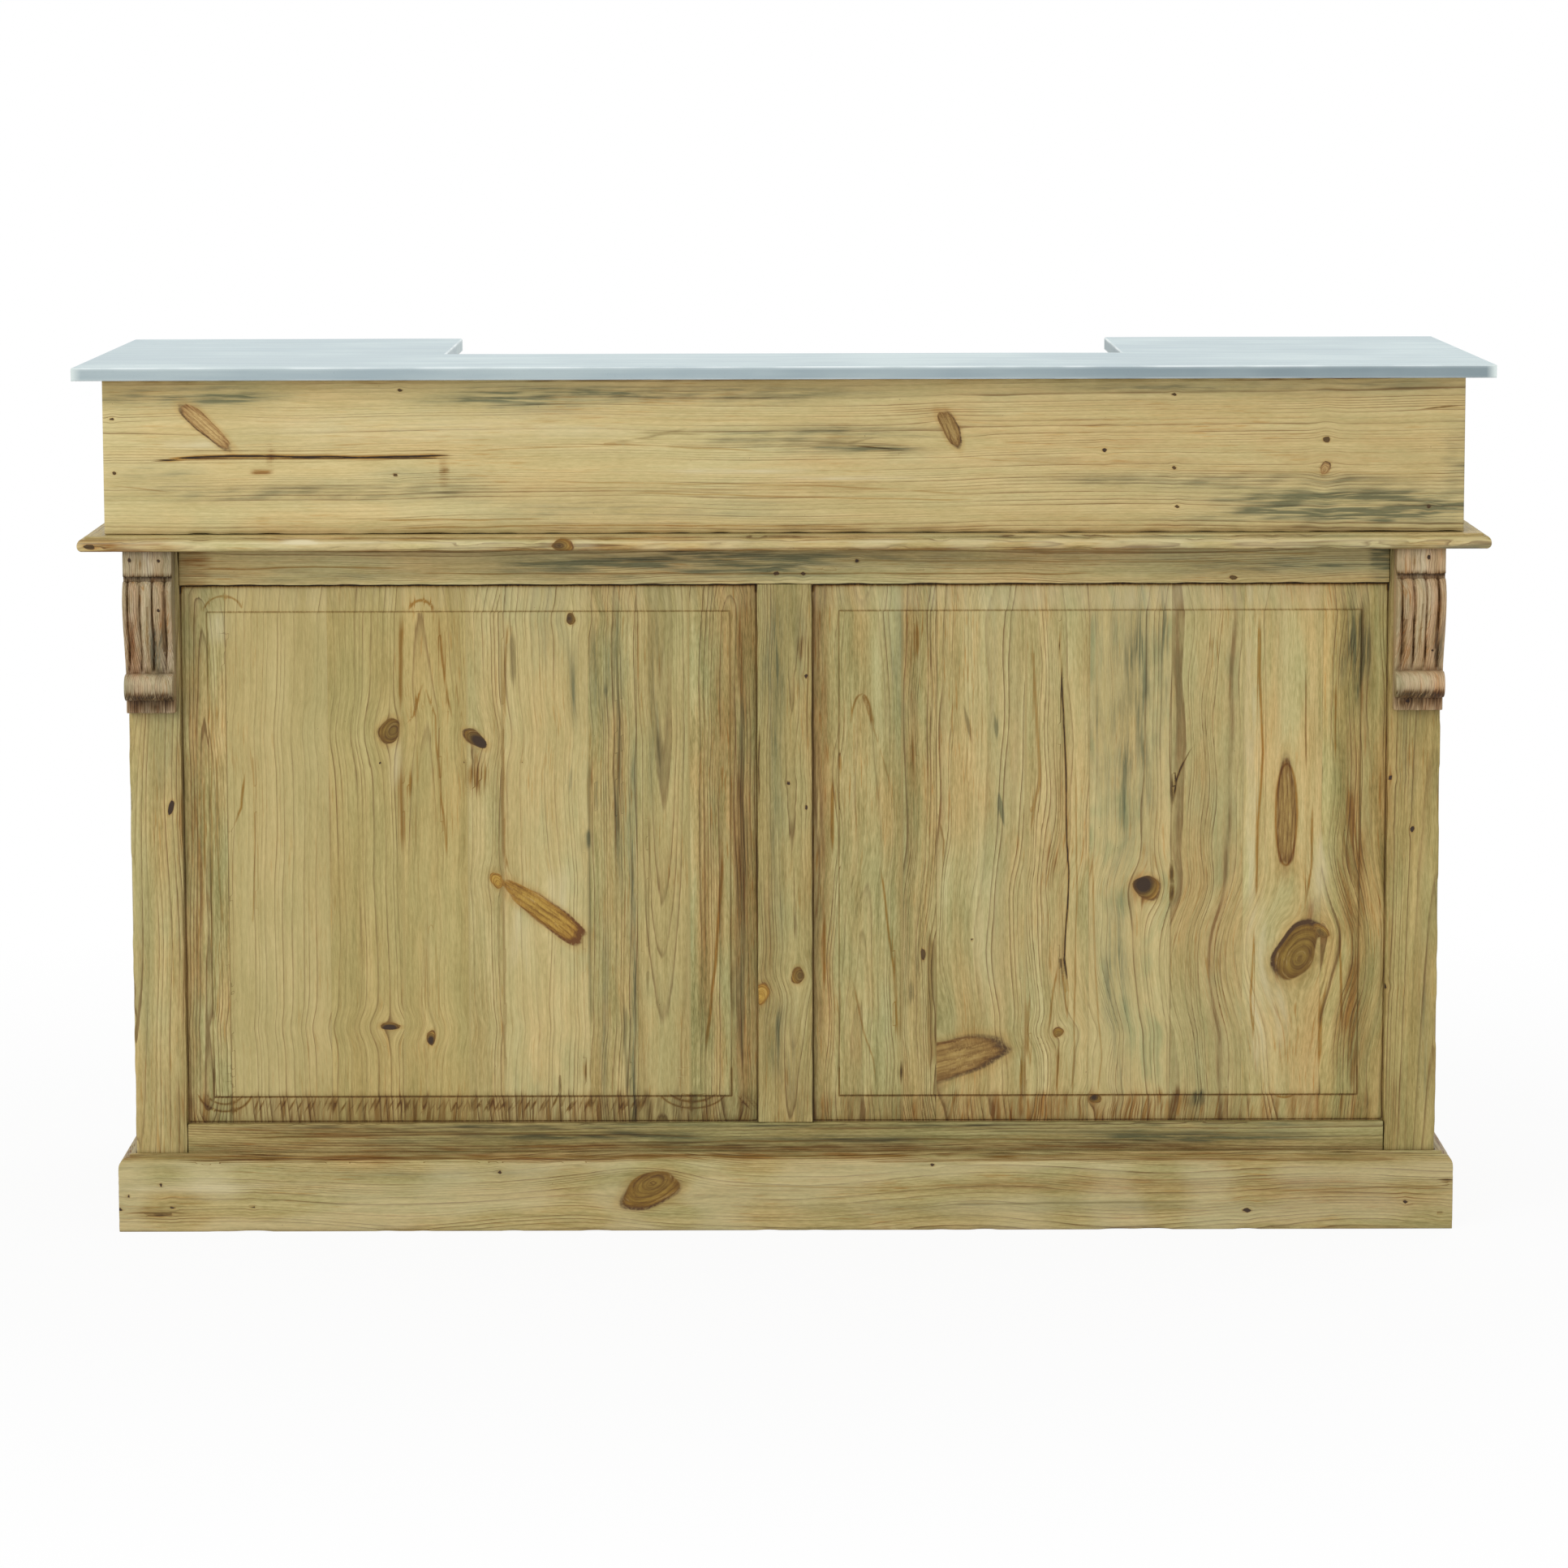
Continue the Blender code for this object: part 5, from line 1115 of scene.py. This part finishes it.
PLINTH_END = dict(
    knots=[(0.05, 0.05, 0.012, 0.009, 0, 0.4)],
    grey=[(0.1, 0.03, 0.15, 0.008, 0.4)], brown=[(0.0, 0.096, 0.9, 0.004, 0.7)],
)

for place, out, run, cornice_marks, plinth_marks in (
    ("front", "-y", "x", CORNICE_FRONT, PLINTH_FRONT),
    ("left", "-x", "y", CORNICE_END, PLINTH_END),
    ("right", "+x", "y", CORNICE_END, PLINTH_END),
):
    two_mitres = place == "front"
    moulding(f"cornice_{place}", out, run, CORNICE, CORNICE_STEPS, CORNICE_RADII, 0.004, two_mitres,
             wear=0.0011, spacing=0.0030, heart=(0.893, 0.06), **cornice_marks)
    moulding(f"plinth_{place}", out, run, PLINTH, PLINTH_STEPS, PLINTH_RADII, 0.014, two_mitres,
             wear=0.0012, spacing=0.0036, heart=(-0.03, 0.06), tone=-0.17, **plinth_marks)


# The corbels: brackets sawn from thick pine and carved by hand with five reeds between deep cuts, over a
# half-round scroll and a foot. They are redder and darker than the rest, darker and browner down in the
# cuts, with painted shade in the creases and under the scroll and the block.

FINISHES["dark_waxed_pine"] = pine(
    "dark_waxed_pine", (0.46, 0.365, 0.225), (0.20, 0.130, 0.078), 0.5, contrast=1.2, crease_shade=0.75
)
CORBEL_HEIGHT = 0.2095
BLOCK_HEIGHT = 0.033
BLOCK = 0.036
QUIRK = 0.0055
FOOT = 0.019
FOOT_HEIGHT = 0.0175
SCROLL = 0.017
BELLY_LOW = 0.0515
BELLY_HIGH = 0.171
CUT_PLACES = (0.10, 0.345, 0.60, 0.86)


def corbel_side():
    """The bracket's side view as (height over the foot, stand-out): foot, scroll, waist and belly, quirk
    and block. The belly is a cubic curve between the scroll's top and the quirk."""
    centre = np.array([FOOT + 0.010, FOOT_HEIGHT + SCROLL])
    angle = np.linspace(-math.pi / 2, math.pi / 2, 17)
    scroll = centre + SCROLL * np.stack([np.cos(angle), np.sin(angle)], axis=1)
    top = CORBEL_HEIGHT - BLOCK_HEIGHT
    end = np.array([FOOT, centre[1] + SCROLL])
    start = np.array([BLOCK, top - QUIRK])
    fall = start[1] - end[1]
    t = np.linspace(0, 1, 44)[:, None]
    handles = (end, end + [0.010, fall * 0.35], start + [0.033, -fall * 0.2], start)
    belly = sum(math.comb(3, k) * (1 - t) ** (3 - k) * t**k * handle for k, handle in enumerate(handles))
    points = np.concatenate([
        [(0.0, 0.0), (FOOT - 0.0015, 0.0), (FOOT, 0.0015), (FOOT, FOOT_HEIGHT)],
        scroll,
        belly,
        [(BLOCK - QUIRK, top - QUIRK), (BLOCK - QUIRK, top), (BLOCK - 0.001, top), (BLOCK, top + 0.001)],
        [(BLOCK, CORBEL_HEIGHT), (0.0, CORBEL_HEIGHT)],
    ])
    return points[:, ::-1]


def make_corbel(word, sign, seed, tone, wash, knots, grey_stain):
    """The side view carried across the width. Inside the belly's length the surface sinks by a V at each
    of four cuts and rounds off between them, and the whole is dented by slow noise."""
    node = f"corbel_{word}"
    low, high = (np.array(corner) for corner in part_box(node))
    width = high[0] - low[0]
    side = corbel_side()
    lengths = np.concatenate([[0], np.cumsum(np.linalg.norm(np.diff(side, axis=0), axis=1))])
    fine = cuts(0.0, lengths[-1], 0.0026, lengths[1:-1])
    side = np.stack([np.interp(fine, lengths, side[:, k]) for k in (0, 1)], axis=1)
    closing = np.linspace(side[-1], side[0], 12)[1:-1]
    is_face = np.arange(len(side) + len(closing)) < len(side)
    side = np.concatenate([side, closing])
    across, inset = stations(0.0, width, 0.0013, 0.0012)
    u, z = np.meshgrid(across, side[:, 0], indexing="ij")
    y = np.broadcast_to(side[:, 1], u.shape)
    normal = outward(side)
    wave = 0.0011 * drift(seed, 0.09, z, u * 0.6)
    cut = np.full(u.shape, 9.0)
    draw = np.random.default_rng(seed)
    cut_lines = []
    heights = np.linspace(BELLY_LOW - 0.004, BELLY_HIGH + 0.004, 12)
    for place in CUT_PLACES:
        cut = np.minimum(cut, np.abs(u + wave - place * width))
        bend = 0.0011 * drift(seed, 0.09, heights, 0.6 * place * width)
        path = np.stack([heights, place * width - bend], axis=1)
        cut_lines.append((*path.ravel(), draw.uniform(0.7, 1.1), 0.7))
    fading = 0.75 + 0.45 * drift(seed + 3, 0.06, z, u * 2)
    depth = 0.0026 * fading * np.exp(-(cut / 0.0011) ** 1.3) + 0.0012 * np.clip(1 - cut / 0.0070, 0, 1) ** 2
    reach = np.clip((z - BELLY_LOW) / 0.004, 0, 1) * np.clip((BELLY_HIGH - z) / 0.0035 + 1, 0, 1)
    sunk = depth * reach * (is_face & (y > 0.012))
    dents = 0.0006 * np.clip(drift(seed + 1, 0.012, u * 1.6, z) - 0.2, 0, 1) * (y > 0.004)
    loss = sunk + dents + inset[:, None] * (y > 0.001)
    z = z - loss * normal[:, 0]
    y = np.maximum(y - loss * normal[:, 1], 0.0)
    heart = (width / 2 - 0.11 * sign, 0.020)
    fields = grain_fields(
        z, u, 0.045 - y, heart, 0.006, 0.0027, seed, tone, vigour=1.35, wash=wash, knots=knots,
        grey=[grey_stain, (0.008, 0.03, 0.012, 0.05, 0.4)],
        brown=[(0.1, 0.01, 0.08, 0.008, 0.45), (0.12, 0.052, 0.08, 0.006, 0.45),
               (0.008, 0.03, 0.012, 0.05, 0.6)],
        pale=[(0.13, 0.028, 0.05, 0.005, 0.5), (0.045, 0.03, 0.006, 0.03, 0.3)],
        lines=cut_lines + [
            (0.0, u0, draw.uniform(0.016, 0.040), u0 + 0.001, draw.uniform(0.6, 1.1), 0.6)
            for u0 in np.arange(0.004, width, 0.0046)
        ] + [(0.052, 0.011, 0.12, 0.012, 0.9, 0.3), (0.06, 0.03, 0.14, 0.031, 0.9, 0.3),
             (0.08, 0.0505, 0.16, 0.0515, 0.9, 0.3), (0.18, 0.022, 0.205, 0.023, 0.9, 0.3)],
    )
    grey, brown, pale = fields["stain_and_shade"]
    # Painted shade: grey and brown darkening on the scroll's underside and under the block, added to the
    # stains. The cuts turn darker and browner with their depth.
    shade_under_scroll = np.exp(-(((z - 0.0235) / 0.0055) ** 2)) * (y > 0.018)
    under = shade_under_scroll + np.exp(-(((z - 0.1765) / 0.0032) ** 2)) * (y > 0.025)
    fields["stain_and_shade"] = (
        grey + 0.15 * np.clip(sunk / 0.003, 0, 1) + 0.8 * under,
        brown + 0.30 * np.clip(sunk / 0.0025, 0, 1) + 1.1 * under,
        pale,
    )
    points = np.stack([u, -y, z], axis=-1) + np.array([low[0], high[1], low[2]])
    finish(put_skin(f"{node}_wood", points, fields), "carcass", "dark_waxed_pine", node)


make_corbel(
    "left", -1, 31, -0.03, 1.8,
    [(0.198, 0.009, 0.0028, 0.0022, 0, 1.3), (0.197, 0.046, 0.0022, 0.0022, 0, 1.3),
     (0.135, 0.046, 0.0022, 0.002, 0, 1.2)],
    (0.085, 0.042, 0.03, 0.008, 1.3),
)
make_corbel(
    "right", 1, 47, 0.12, -0.6,
    [(0.198, 0.04, 0.0028, 0.0022, 0, 1.3), (0.078, 0.047, 0.0016, 0.0016, 0, 1.2),
     (0.012, 0.017, 0.002, 0.003, 0, 1.2)],
    (0.085, 0.055, 0.03, 0.008, 0.6),
)


# The top: a pine board edged and covered with one sheet of zinc, folded down all round and soldered at
# the corners. The metal is a matt blue-grey blotched by wear, with a painted highlight along the folds and
# the lower edge and painted shade on the folded-down lip, darker towards the right.

SHEET = 0.0008
BEND = 0.0022
UNDER_BOX = 0.0003
ZINC_STEP = 0.011
RINGS = 6
BOARD_ROOM = 0.001
BOARD_GAP = 0.0003
STRIP_DEPTH = 0.302
BAY_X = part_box("cheek_right")[0].x - 0.018
BAY_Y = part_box("zinc_cover")[0].y + 0.304


def zinc():
    """Weathered zinc: metal whose colour and gloss change in soft blotches and fine rolled streaks, with a
    painted highlight along the folds and the lower edge, brighter at the soldered corners, and painted shade
    on the folded-down lip."""
    made = bpy.data.materials.new("sheet_zinc")
    tree = empty_tree(made)
    maths, fade, blend, field = tools(tree)
    place = tree.nodes.new("ShaderNodeTexCoord").outputs["Object"]
    fold, solder, lip_shade = field("fold")

    def cloud(scale, detail, stretch=(1.0, 1.0, 1.0)):
        vector = add_node(tree, "ShaderNodeMapping", {"Vector": place, "Scale": stretch})
        return add_node(tree, "ShaderNodeTexNoise", {"Vector": vector, "Scale": scale, "Detail": detail})

    blotch = cloud(5.0, 4.0)
    rolled = cloud(60.0, 3.0, (0.06, 1.0, 1.0))
    speck = cloud(420.0, 2.0)
    metal = blend("MIX", fade(blotch, 0.35, 0.68), (0.55, 0.65, 0.67), (0.67, 0.765, 0.77))
    metal = blend("MIX", fade(rolled, 0.40, 0.70, 0.0, 0.35), metal, (0.40, 0.50, 0.56))
    metal = blend("MIX", fade(speck, 0.64, 0.78, 0.0, 0.30), metal, (0.30, 0.37, 0.42))
    # Painted shade: the folded-down lip is mixed towards a darker blue-grey.
    lip_shade_colour = blend("MIX", fade(blotch, 0.40, 0.60), (0.11, 0.16, 0.19), (0.19, 0.25, 0.28))
    metal = blend("MIX", lip_shade, metal, lip_shade_colour)
    # Painted highlight: near-white metal laid in patches along the folds and the lower edge.
    fold_highlight = maths("MULTIPLY", fold, fade(cloud(9.0, 3.0), 0.42, 0.62, 0.45, 1.0))
    metal = blend("MIX", fold_highlight, metal, (0.92, 0.98, 0.98))
    metal = blend("MIX", solder, metal, (0.78, 0.86, 0.84))
    rough = fade(blotch, 0.3, 0.7, 0.46, 0.60)
    height = maths("ADD", cloud(14.0, 2.0), speck)
    bump = add_node(tree, "ShaderNodeBump", {"Strength": 0.25, "Distance": 0.0012, "Height": height})
    inputs = {"Base Color": metal, "Metallic": 1.0, "Roughness": rough, "Normal": bump}
    shader = add_node(tree, "ShaderNodeBsdfPrincipled", inputs)
    add_node(tree, "ShaderNodeOutputMaterial", (shader,))
    return made


def rim_of(sides):
    """The rim's grid points in order, the way out at each and how much solder is on it. Each side gives
    its points, its way out and the corner that follows: at an outer one the way turns in five steps on
    the same point, at an inner one it is the sum of both sides' ways."""
    parts = []
    for place, (ids, way, corner) in enumerate(sides):
        way, after = np.array(way), np.array(sides[(place + 1) % len(sides)][1])
        turn = np.linspace(0, math.pi / 2, 5)[:, None]
        ways, soldered = np.cos(turn) * way + np.sin(turn) * after, 1.0
        if corner == "in":
            ways, soldered = (way + after)[None], 0.6
        middle = ids[1:-1]
        parts.append((
            np.append(middle, np.full(len(ways), ids[-1])),
            np.concatenate([np.tile(way, (len(middle), 1)), ways]),
            np.append(np.zeros(len(middle)), np.full(len(ways), soldered)),
        ))
    return (np.concatenate(part) for part in zip(*parts))


def make_zinc():
    """The top face is a grid over the U, gently wavy. Its rim is carried round the U on a fold: a quarter
    circle out and down, then straight down to the lip. At an outer corner the fold turns on the spot, and
    at an inner corner it is mitred."""
    low, high = (np.array(corner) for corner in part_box("zinc_cover"))
    x0, x1, y0, y1 = low[0] + BEND, high[0] - BEND, low[1] + BEND, high[1] - BEND
    bay_x, bay_y = BAY_X + BEND, BAY_Y - BEND
    xs = cuts(x0, x1, ZINC_STEP, (-bay_x, bay_x))
    ys = cuts(y0, y1, ZINC_STEP, (bay_y,))
    gx, gy = np.meshgrid(xs, ys, indexing="ij")
    count = gx.size
    number = np.arange(count).reshape(gx.shape)
    quads = np.stack([number[:-1, :-1], number[1:, :-1], number[1:, 1:], number[:-1, 1:]], axis=-1)
    beside_bay = np.abs(xs[:-1] + xs[1:]) / 2 > bay_x
    before_bay = (ys[:-1] + ys[1:]) / 2 < bay_y
    quads = quads[beside_bay[:, None] | before_bay]
    ripple = 0.00012 * drift(5, 0.25, gx, gy) * np.clip(np.minimum(gx - x0, x1 - gx) / 0.02, 0, 1)
    level = high[2] - UNDER_BOX
    top = np.stack([gx, gy, level + ripple], axis=-1).reshape(-1, 3)
    left, right = (int(np.argmin(np.abs(xs - x))) for x in (-bay_x, bay_x))
    inner = int(np.argmin(np.abs(ys - bay_y)))
    ids, ways, solder = rim_of((
        (number[:, 0], (0.0, -1.0), "out"),
        (number[-1, :], (1.0, 0.0), "out"),
        (number[right:, -1][::-1], (0.0, 1.0), "out"),
        (number[right, inner:][::-1], (-1.0, 0.0), "in"),
        (number[left:right + 1, inner][::-1], (0.0, 1.0), "in"),
        (number[left, inner:], (1.0, 0.0), "out"),
        (number[:left + 1, -1][::-1], (0.0, 1.0), "out"),
        (number[0, ::-1], (-1.0, 0.0), "out"),
    ))
    drop = high[2] - low[2]
    angle = np.radians(np.linspace(15, 90, RINGS))
    out = np.concatenate([BEND * np.sin(angle), np.full(RINGS, BEND)])[:, None]
    straight = np.linspace(BEND, drop, RINGS + 1)[1:]
    down = np.concatenate([BEND * (1 - np.cos(angle)), straight])[:, None] + np.zeros(len(ids))
    x, y = top[ids, :2].T
    dents = np.clip(0.00035 * drift(8, 0.10, x, y) / BEND, -0.2, 0.0)
    out = out * (1 + dents * (down > 0.3 * drop))
    rings = np.stack([x + ways[:, 0] * out, y + ways[:, 1] * out, level - down], axis=-1)
    # Painted highlight: a band round the fold's curve and a line along the lower edge.
    highlight_band = 0.95 * np.exp(-(((down - 0.4 * BEND) / (0.5 * BEND)) ** 2)) + 0.5 * (down > 0.97 * drop)
    loops = np.vstack([ids, count + np.arange(down.size).reshape(down.shape)])
    beside = np.roll(loops, -1, axis=1)
    rim = np.stack([loops[:-1], loops[1:], beside[1:], beside[:-1]], axis=-1).reshape(-1, 4)
    used, corners = np.unique(np.concatenate([quads, rim]), return_inverse=True)
    points = np.concatenate([top, rings.reshape(-1, 3)])[used]
    fold = np.concatenate([np.zeros(count), highlight_band.ravel()])[used]
    solder = np.concatenate([np.zeros(count), np.tile(solder, len(down))])[used]
    # Painted shade: the folded-down lip darker, more so towards the right.
    below = np.clip((high[2] - points[:, 2] - 0.3 * BEND) / BEND, 0, 1)
    lip_shade = below * (0.26 + 0.48 * np.clip((points[:, 0] + 0.2) / 1.1, 0, 1))
    counts = np.full(len(quads) + len(rim), 4)
    sheet = build_mesh("zinc_sheet", points, corners.ravel(), counts, {"fold": (fold, solder, lip_shade)})
    sheet.data.validate()
    wall = sheet.modifiers.new("sheet", "SOLIDIFY")
    wall.thickness = SHEET
    wall.offset = -1.0
    wall.use_rim = True
    finish(sheet, "carcass", "sheet_zinc", "zinc_cover")


FINISHES["sheet_zinc"] = zinc()
make_zinc()
(x0, y0, z0), (x1, y1, z1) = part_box("top_board")
wing_x = BAY_X + BOARD_ROOM
strip_y = y0 + STRIP_DEPTH
wing_y = strip_y + BOARD_GAP
for part, run, box in (
    ("strip", "x", ((x0, y0, z0), (x1, strip_y, z1))),
    ("wing_left", "y", ((x0, wing_y, z0), (-wing_x, y1, z1))),
    ("wing_right", "y", ((wing_x, wing_y, z0), (x1, y1, z1))),
):
    board("top_board", "carcass", "+z", run, "bare_pine", 0.02, part=part, box=box)


# Inside: the worktop over the bay, floor, shelf, partitions and toe board. They are planed pine boards,
# left bare and nailed to the frames.

for node, out, run in (
    ("deck_board", "+z", "x"),
    ("floor_board", "+z", "x"),
    ("shelf_centre", "+z", "x"),
    ("partition_left", "+x", "z"),
    ("partition_right", "-x", "z"),
    ("plinth_back", "+y", "x"),
):
    board(node, "carcass", out, run, "bare_pine", step=0.012)


# The drawers: a waxed front inset in each wing, on plain sides with the bottom let into grooves, and one
# turned knob. The wood is glued and pinned.

DRAWER_GROOVE = (0.9155, 0.9221, 0.005)


def grooved_inside(low, high, thick):
    """A board's section with the drawer bottom's groove in its inner face."""
    start, end, deep = DRAWER_GROOVE
    return [(low, 0.0), (high, 0.0), (high, thick), (end, thick), (end, thick - deep), (start, thick - deep),
            (start, thick), (low, thick)]


def turned(name, node, body, profile, centre, axis, tone=-0.42):
    """A piece turned on a lathe: its profile of (height, radius) carried round the axis, with the wood's
    grain along it and a small cap at each end."""
    count = 40
    heights, radii = profile.T
    angle = np.arange(count) * 2 * math.pi / count
    h, t = np.meshgrid(heights, angle, indexing="ij")
    r = np.broadcast_to(radii[:, None], h.shape)
    u = r * np.cos(t)
    v = r * np.sin(t)
    fields = grain_fields(h, u, v, (0.011, 0.006), 0.02, 0.0016, sum(map(ord, name)), tone=tone)
    order = {"y": (u, h, v), "z": (u, v, h)}[axis]
    piece = put_skin(name, np.stack(order, axis=-1) + np.array(centre), fields)
    finish(piece, body, "waxed_pine", node)


def smoothed(profile, times=2):
    """A profile with each corner cut at a quarter and three quarters of its sides, a number of times, and
    its ends kept."""
    profile = np.array(profile)
    for _ in range(times):
        low, high = profile[:-1], profile[1:]
        cut = np.stack([0.75 * low + 0.25 * high, 0.25 * low + 0.75 * high], axis=1).reshape(-1, 2)
        profile = np.concatenate([profile[:1], cut, profile[-1:]])
    return profile


KNOB_PROFILE = smoothed([
    (0.0, 0.0005), (0.0, 0.011), (0.0019, 0.011), (0.0024, 0.0098), (0.004, 0.0078), (0.0075, 0.007),
    (0.0098, 0.008), (0.011, 0.013), (0.013, 0.0155), (0.0165, 0.0163), (0.0195, 0.0157), (0.0205, 0.014),
    (0.0207, 0.0132), (0.0216, 0.013), (0.0238, 0.01), (0.025, 0.005), (0.025, 0.0005),
])


def knob(node, body):
    """On the rear side, standing out along +Y from where its CAD node starts."""
    low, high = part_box(node)
    centre = ((low.x + high.x) / 2, low.y, (low.z + high.z) / 2)
    turned(f"{node}_turned", node, body, KNOB_PROFILE, centre, "y")


for word, sign, spot in (("left", -1, (-0.745, 0.960)), ("right", 1, (0.580, 1.052))):
    body = f"drawer_{word}"
    board(
        f"{body}_front", body, "+y", "x", radius=0.0016, wear=0.0012, section=grooved_inside,
        heart=(1.10, 0.05), lean=0.006, tone=-0.12, knots=[(*spot, 0.012, 0.008, 20 * sign, 0.35)],
        grey=[(0.6 * sign, 1.085, 0.2, 0.008, 0.5), (0.74 * sign, 0.925, 0.12, 0.01, 0.4)],
        brown=[(0.663 * sign, 1.004, 0.035, 0.02, 0.45), (0.663 * sign, 0.912, 0.2, 0.004, 0.5)],
        lines=[(0.52, 0.948, 0.7, 0.945, 0.7, 0.4) if sign > 0 else (-0.7, 0.945, -0.52, 0.948, 0.7, 0.4)],
    )
    for place, out in (("inner", "-x" if sign > 0 else "+x"), ("outer", "+x" if sign > 0 else "-x")):
        board(f"{body}_{place}_side", body, out, "y", "bare_pine", step=0.008, section=grooved_inside)
    board(f"{body}_back", body, "-y", "x", "bare_pine", step=0.006)
    board(f"{body}_bottom", body, "+z", "x", "bare_pine", step=0.010, radius=0.0006, wear=0.0003)
    knob(f"{body}_knob", body)


# The cupboard doors: framed and panelled like the front but lighter, hung on wooden pintles in the ends
# of a stile whose outer edge is round. Hands have darkened the wood round the knobs.

DOOR_NOTCH = (0.0077, 0.0153, 0.009)
DOOR_ROUND = 0.0105
PINTLE_LENGTH = 0.0137
PINTLE = smoothed([
    (0.0, 0.0005), (0.0, 0.006), (0.013, 0.006), (PINTLE_LENGTH, 0.005), (PINTLE_LENGTH, 0.0005),
], times=1)


def hinge_section(sign):
    """The hinge stile's section: a groove for the panel in one edge, the other edge a half circle."""

    def section(low, high, thick):
        near, far, deep = DOOR_NOTCH
        inner, outer = (low, high) if sign > 0 else (high, low)
        turn = np.linspace(-math.pi / 2, math.pi / 2, 15)
        centre = outer - sign * DOOR_ROUND
        across, through = centre + sign * DOOR_ROUND * np.cos(turn), thick / 2 + DOOR_ROUND * np.sin(turn)
        groove = [(inner, far), (inner + sign * deep, far), (inner + sign * deep, near), (inner, near)]
        return [(inner, 0.0), *zip(across, through), (inner, thick), *groove]

    return section


for word, sign in (("left", -1), ("right", 1)):
    body = f"door_{word}"
    (_, _, z0), (_, _, z1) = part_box(f"{body}_free_stile")
    board(
        f"{body}_free_stile", body, "+y", "z", notches=[(1 if sign > 0 else 0, *DOOR_NOTCH)], tone=-0.16,
        grey=[(0.3, 0.5 * sign, 0.12, 0.006, 0.5)], brown=[(0.503, 0.514 * sign, 0.06, 0.016, 0.7)],
        knots=[(0.715 if sign > 0 else 0.26, 0.517 * sign, 0.01, 0.007, 15, 0.3)],
    )
    (hx0, hy0, hz0), (hx1, hy1, hz1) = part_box(f"{body}_hinge_stile")
    board(
        f"{body}_hinge_stile", body, "+y", "z", section=hinge_section(sign), tone=-0.18,
        box=((hx0, hy0, z0), (hx1, hy1, z1)), grey=[(0.62, 0.79 * sign, 0.15, 0.008, 0.4)],
    )
    axis_x = (hx1 if sign > 0 else hx0) - sign * DOOR_ROUND
    for place, start in (("low", hz0), ("high", hz1 - PINTLE_LENGTH)):
        centre = (axis_x, (hy0 + hy1) / 2, start)
        turned(f"{body}_pintle_{place}", f"{body}_hinge_stile", body, PINTLE, centre, "z")
    board(f"{body}_bottom_rail", body, "+y", "x", notches=[(1, *DOOR_NOTCH)], tone=-0.24,
          grey=[(0.6 * sign, 0.165, 0.08, 0.006, 0.5)], brown=[(0.65 * sign, 0.135, 0.14, 0.008, 0.6)])
    board(f"{body}_top_rail", body, "+y", "x", notches=[(0, *DOOR_NOTCH)], tone=-0.16,
          grey=[(0.65 * sign, 0.868, 0.08, 0.01, 0.5)])
    middle = 0.64 if sign > 0 else -0.66
    panel(
        f"{body}_panel", body, "+y", bevel=0.026, rise=0.0045, step=0.0035, grain_step=0.004,
        planks=[
            (min(0.53 * sign, 0.77 * sign), 0.0, -0.16, middle - 0.12, 0.04, 0.012, 0.0056, 1.0, 0.8),
            (middle, 0.25, -0.1, middle + 0.035, 0.004, 0.035, 0.011, 1.0, 0.8),
        ],
        knots=[
            (0.615 if sign > 0 else 0.42, middle + 0.045, 0.016, 0.011, -30, 0.3),
            (0.33 if sign > 0 else 0.7, middle - 0.05, 0.0075, 0.0055, 0, 1.0),
        ],
        grey=[(0.55, middle - 0.04, 0.18, 0.012, 0.45), (0.74, middle + 0.05, 0.06, 0.014, 0.4)],
        # The wide brown band at 0.195 along is painted shade on the panel's bottom bevel.
        brown=[(0.195, 0.65 * sign, 0.018, 0.11, 0.8)],
    )
    knob(f"{body}_knob", body)
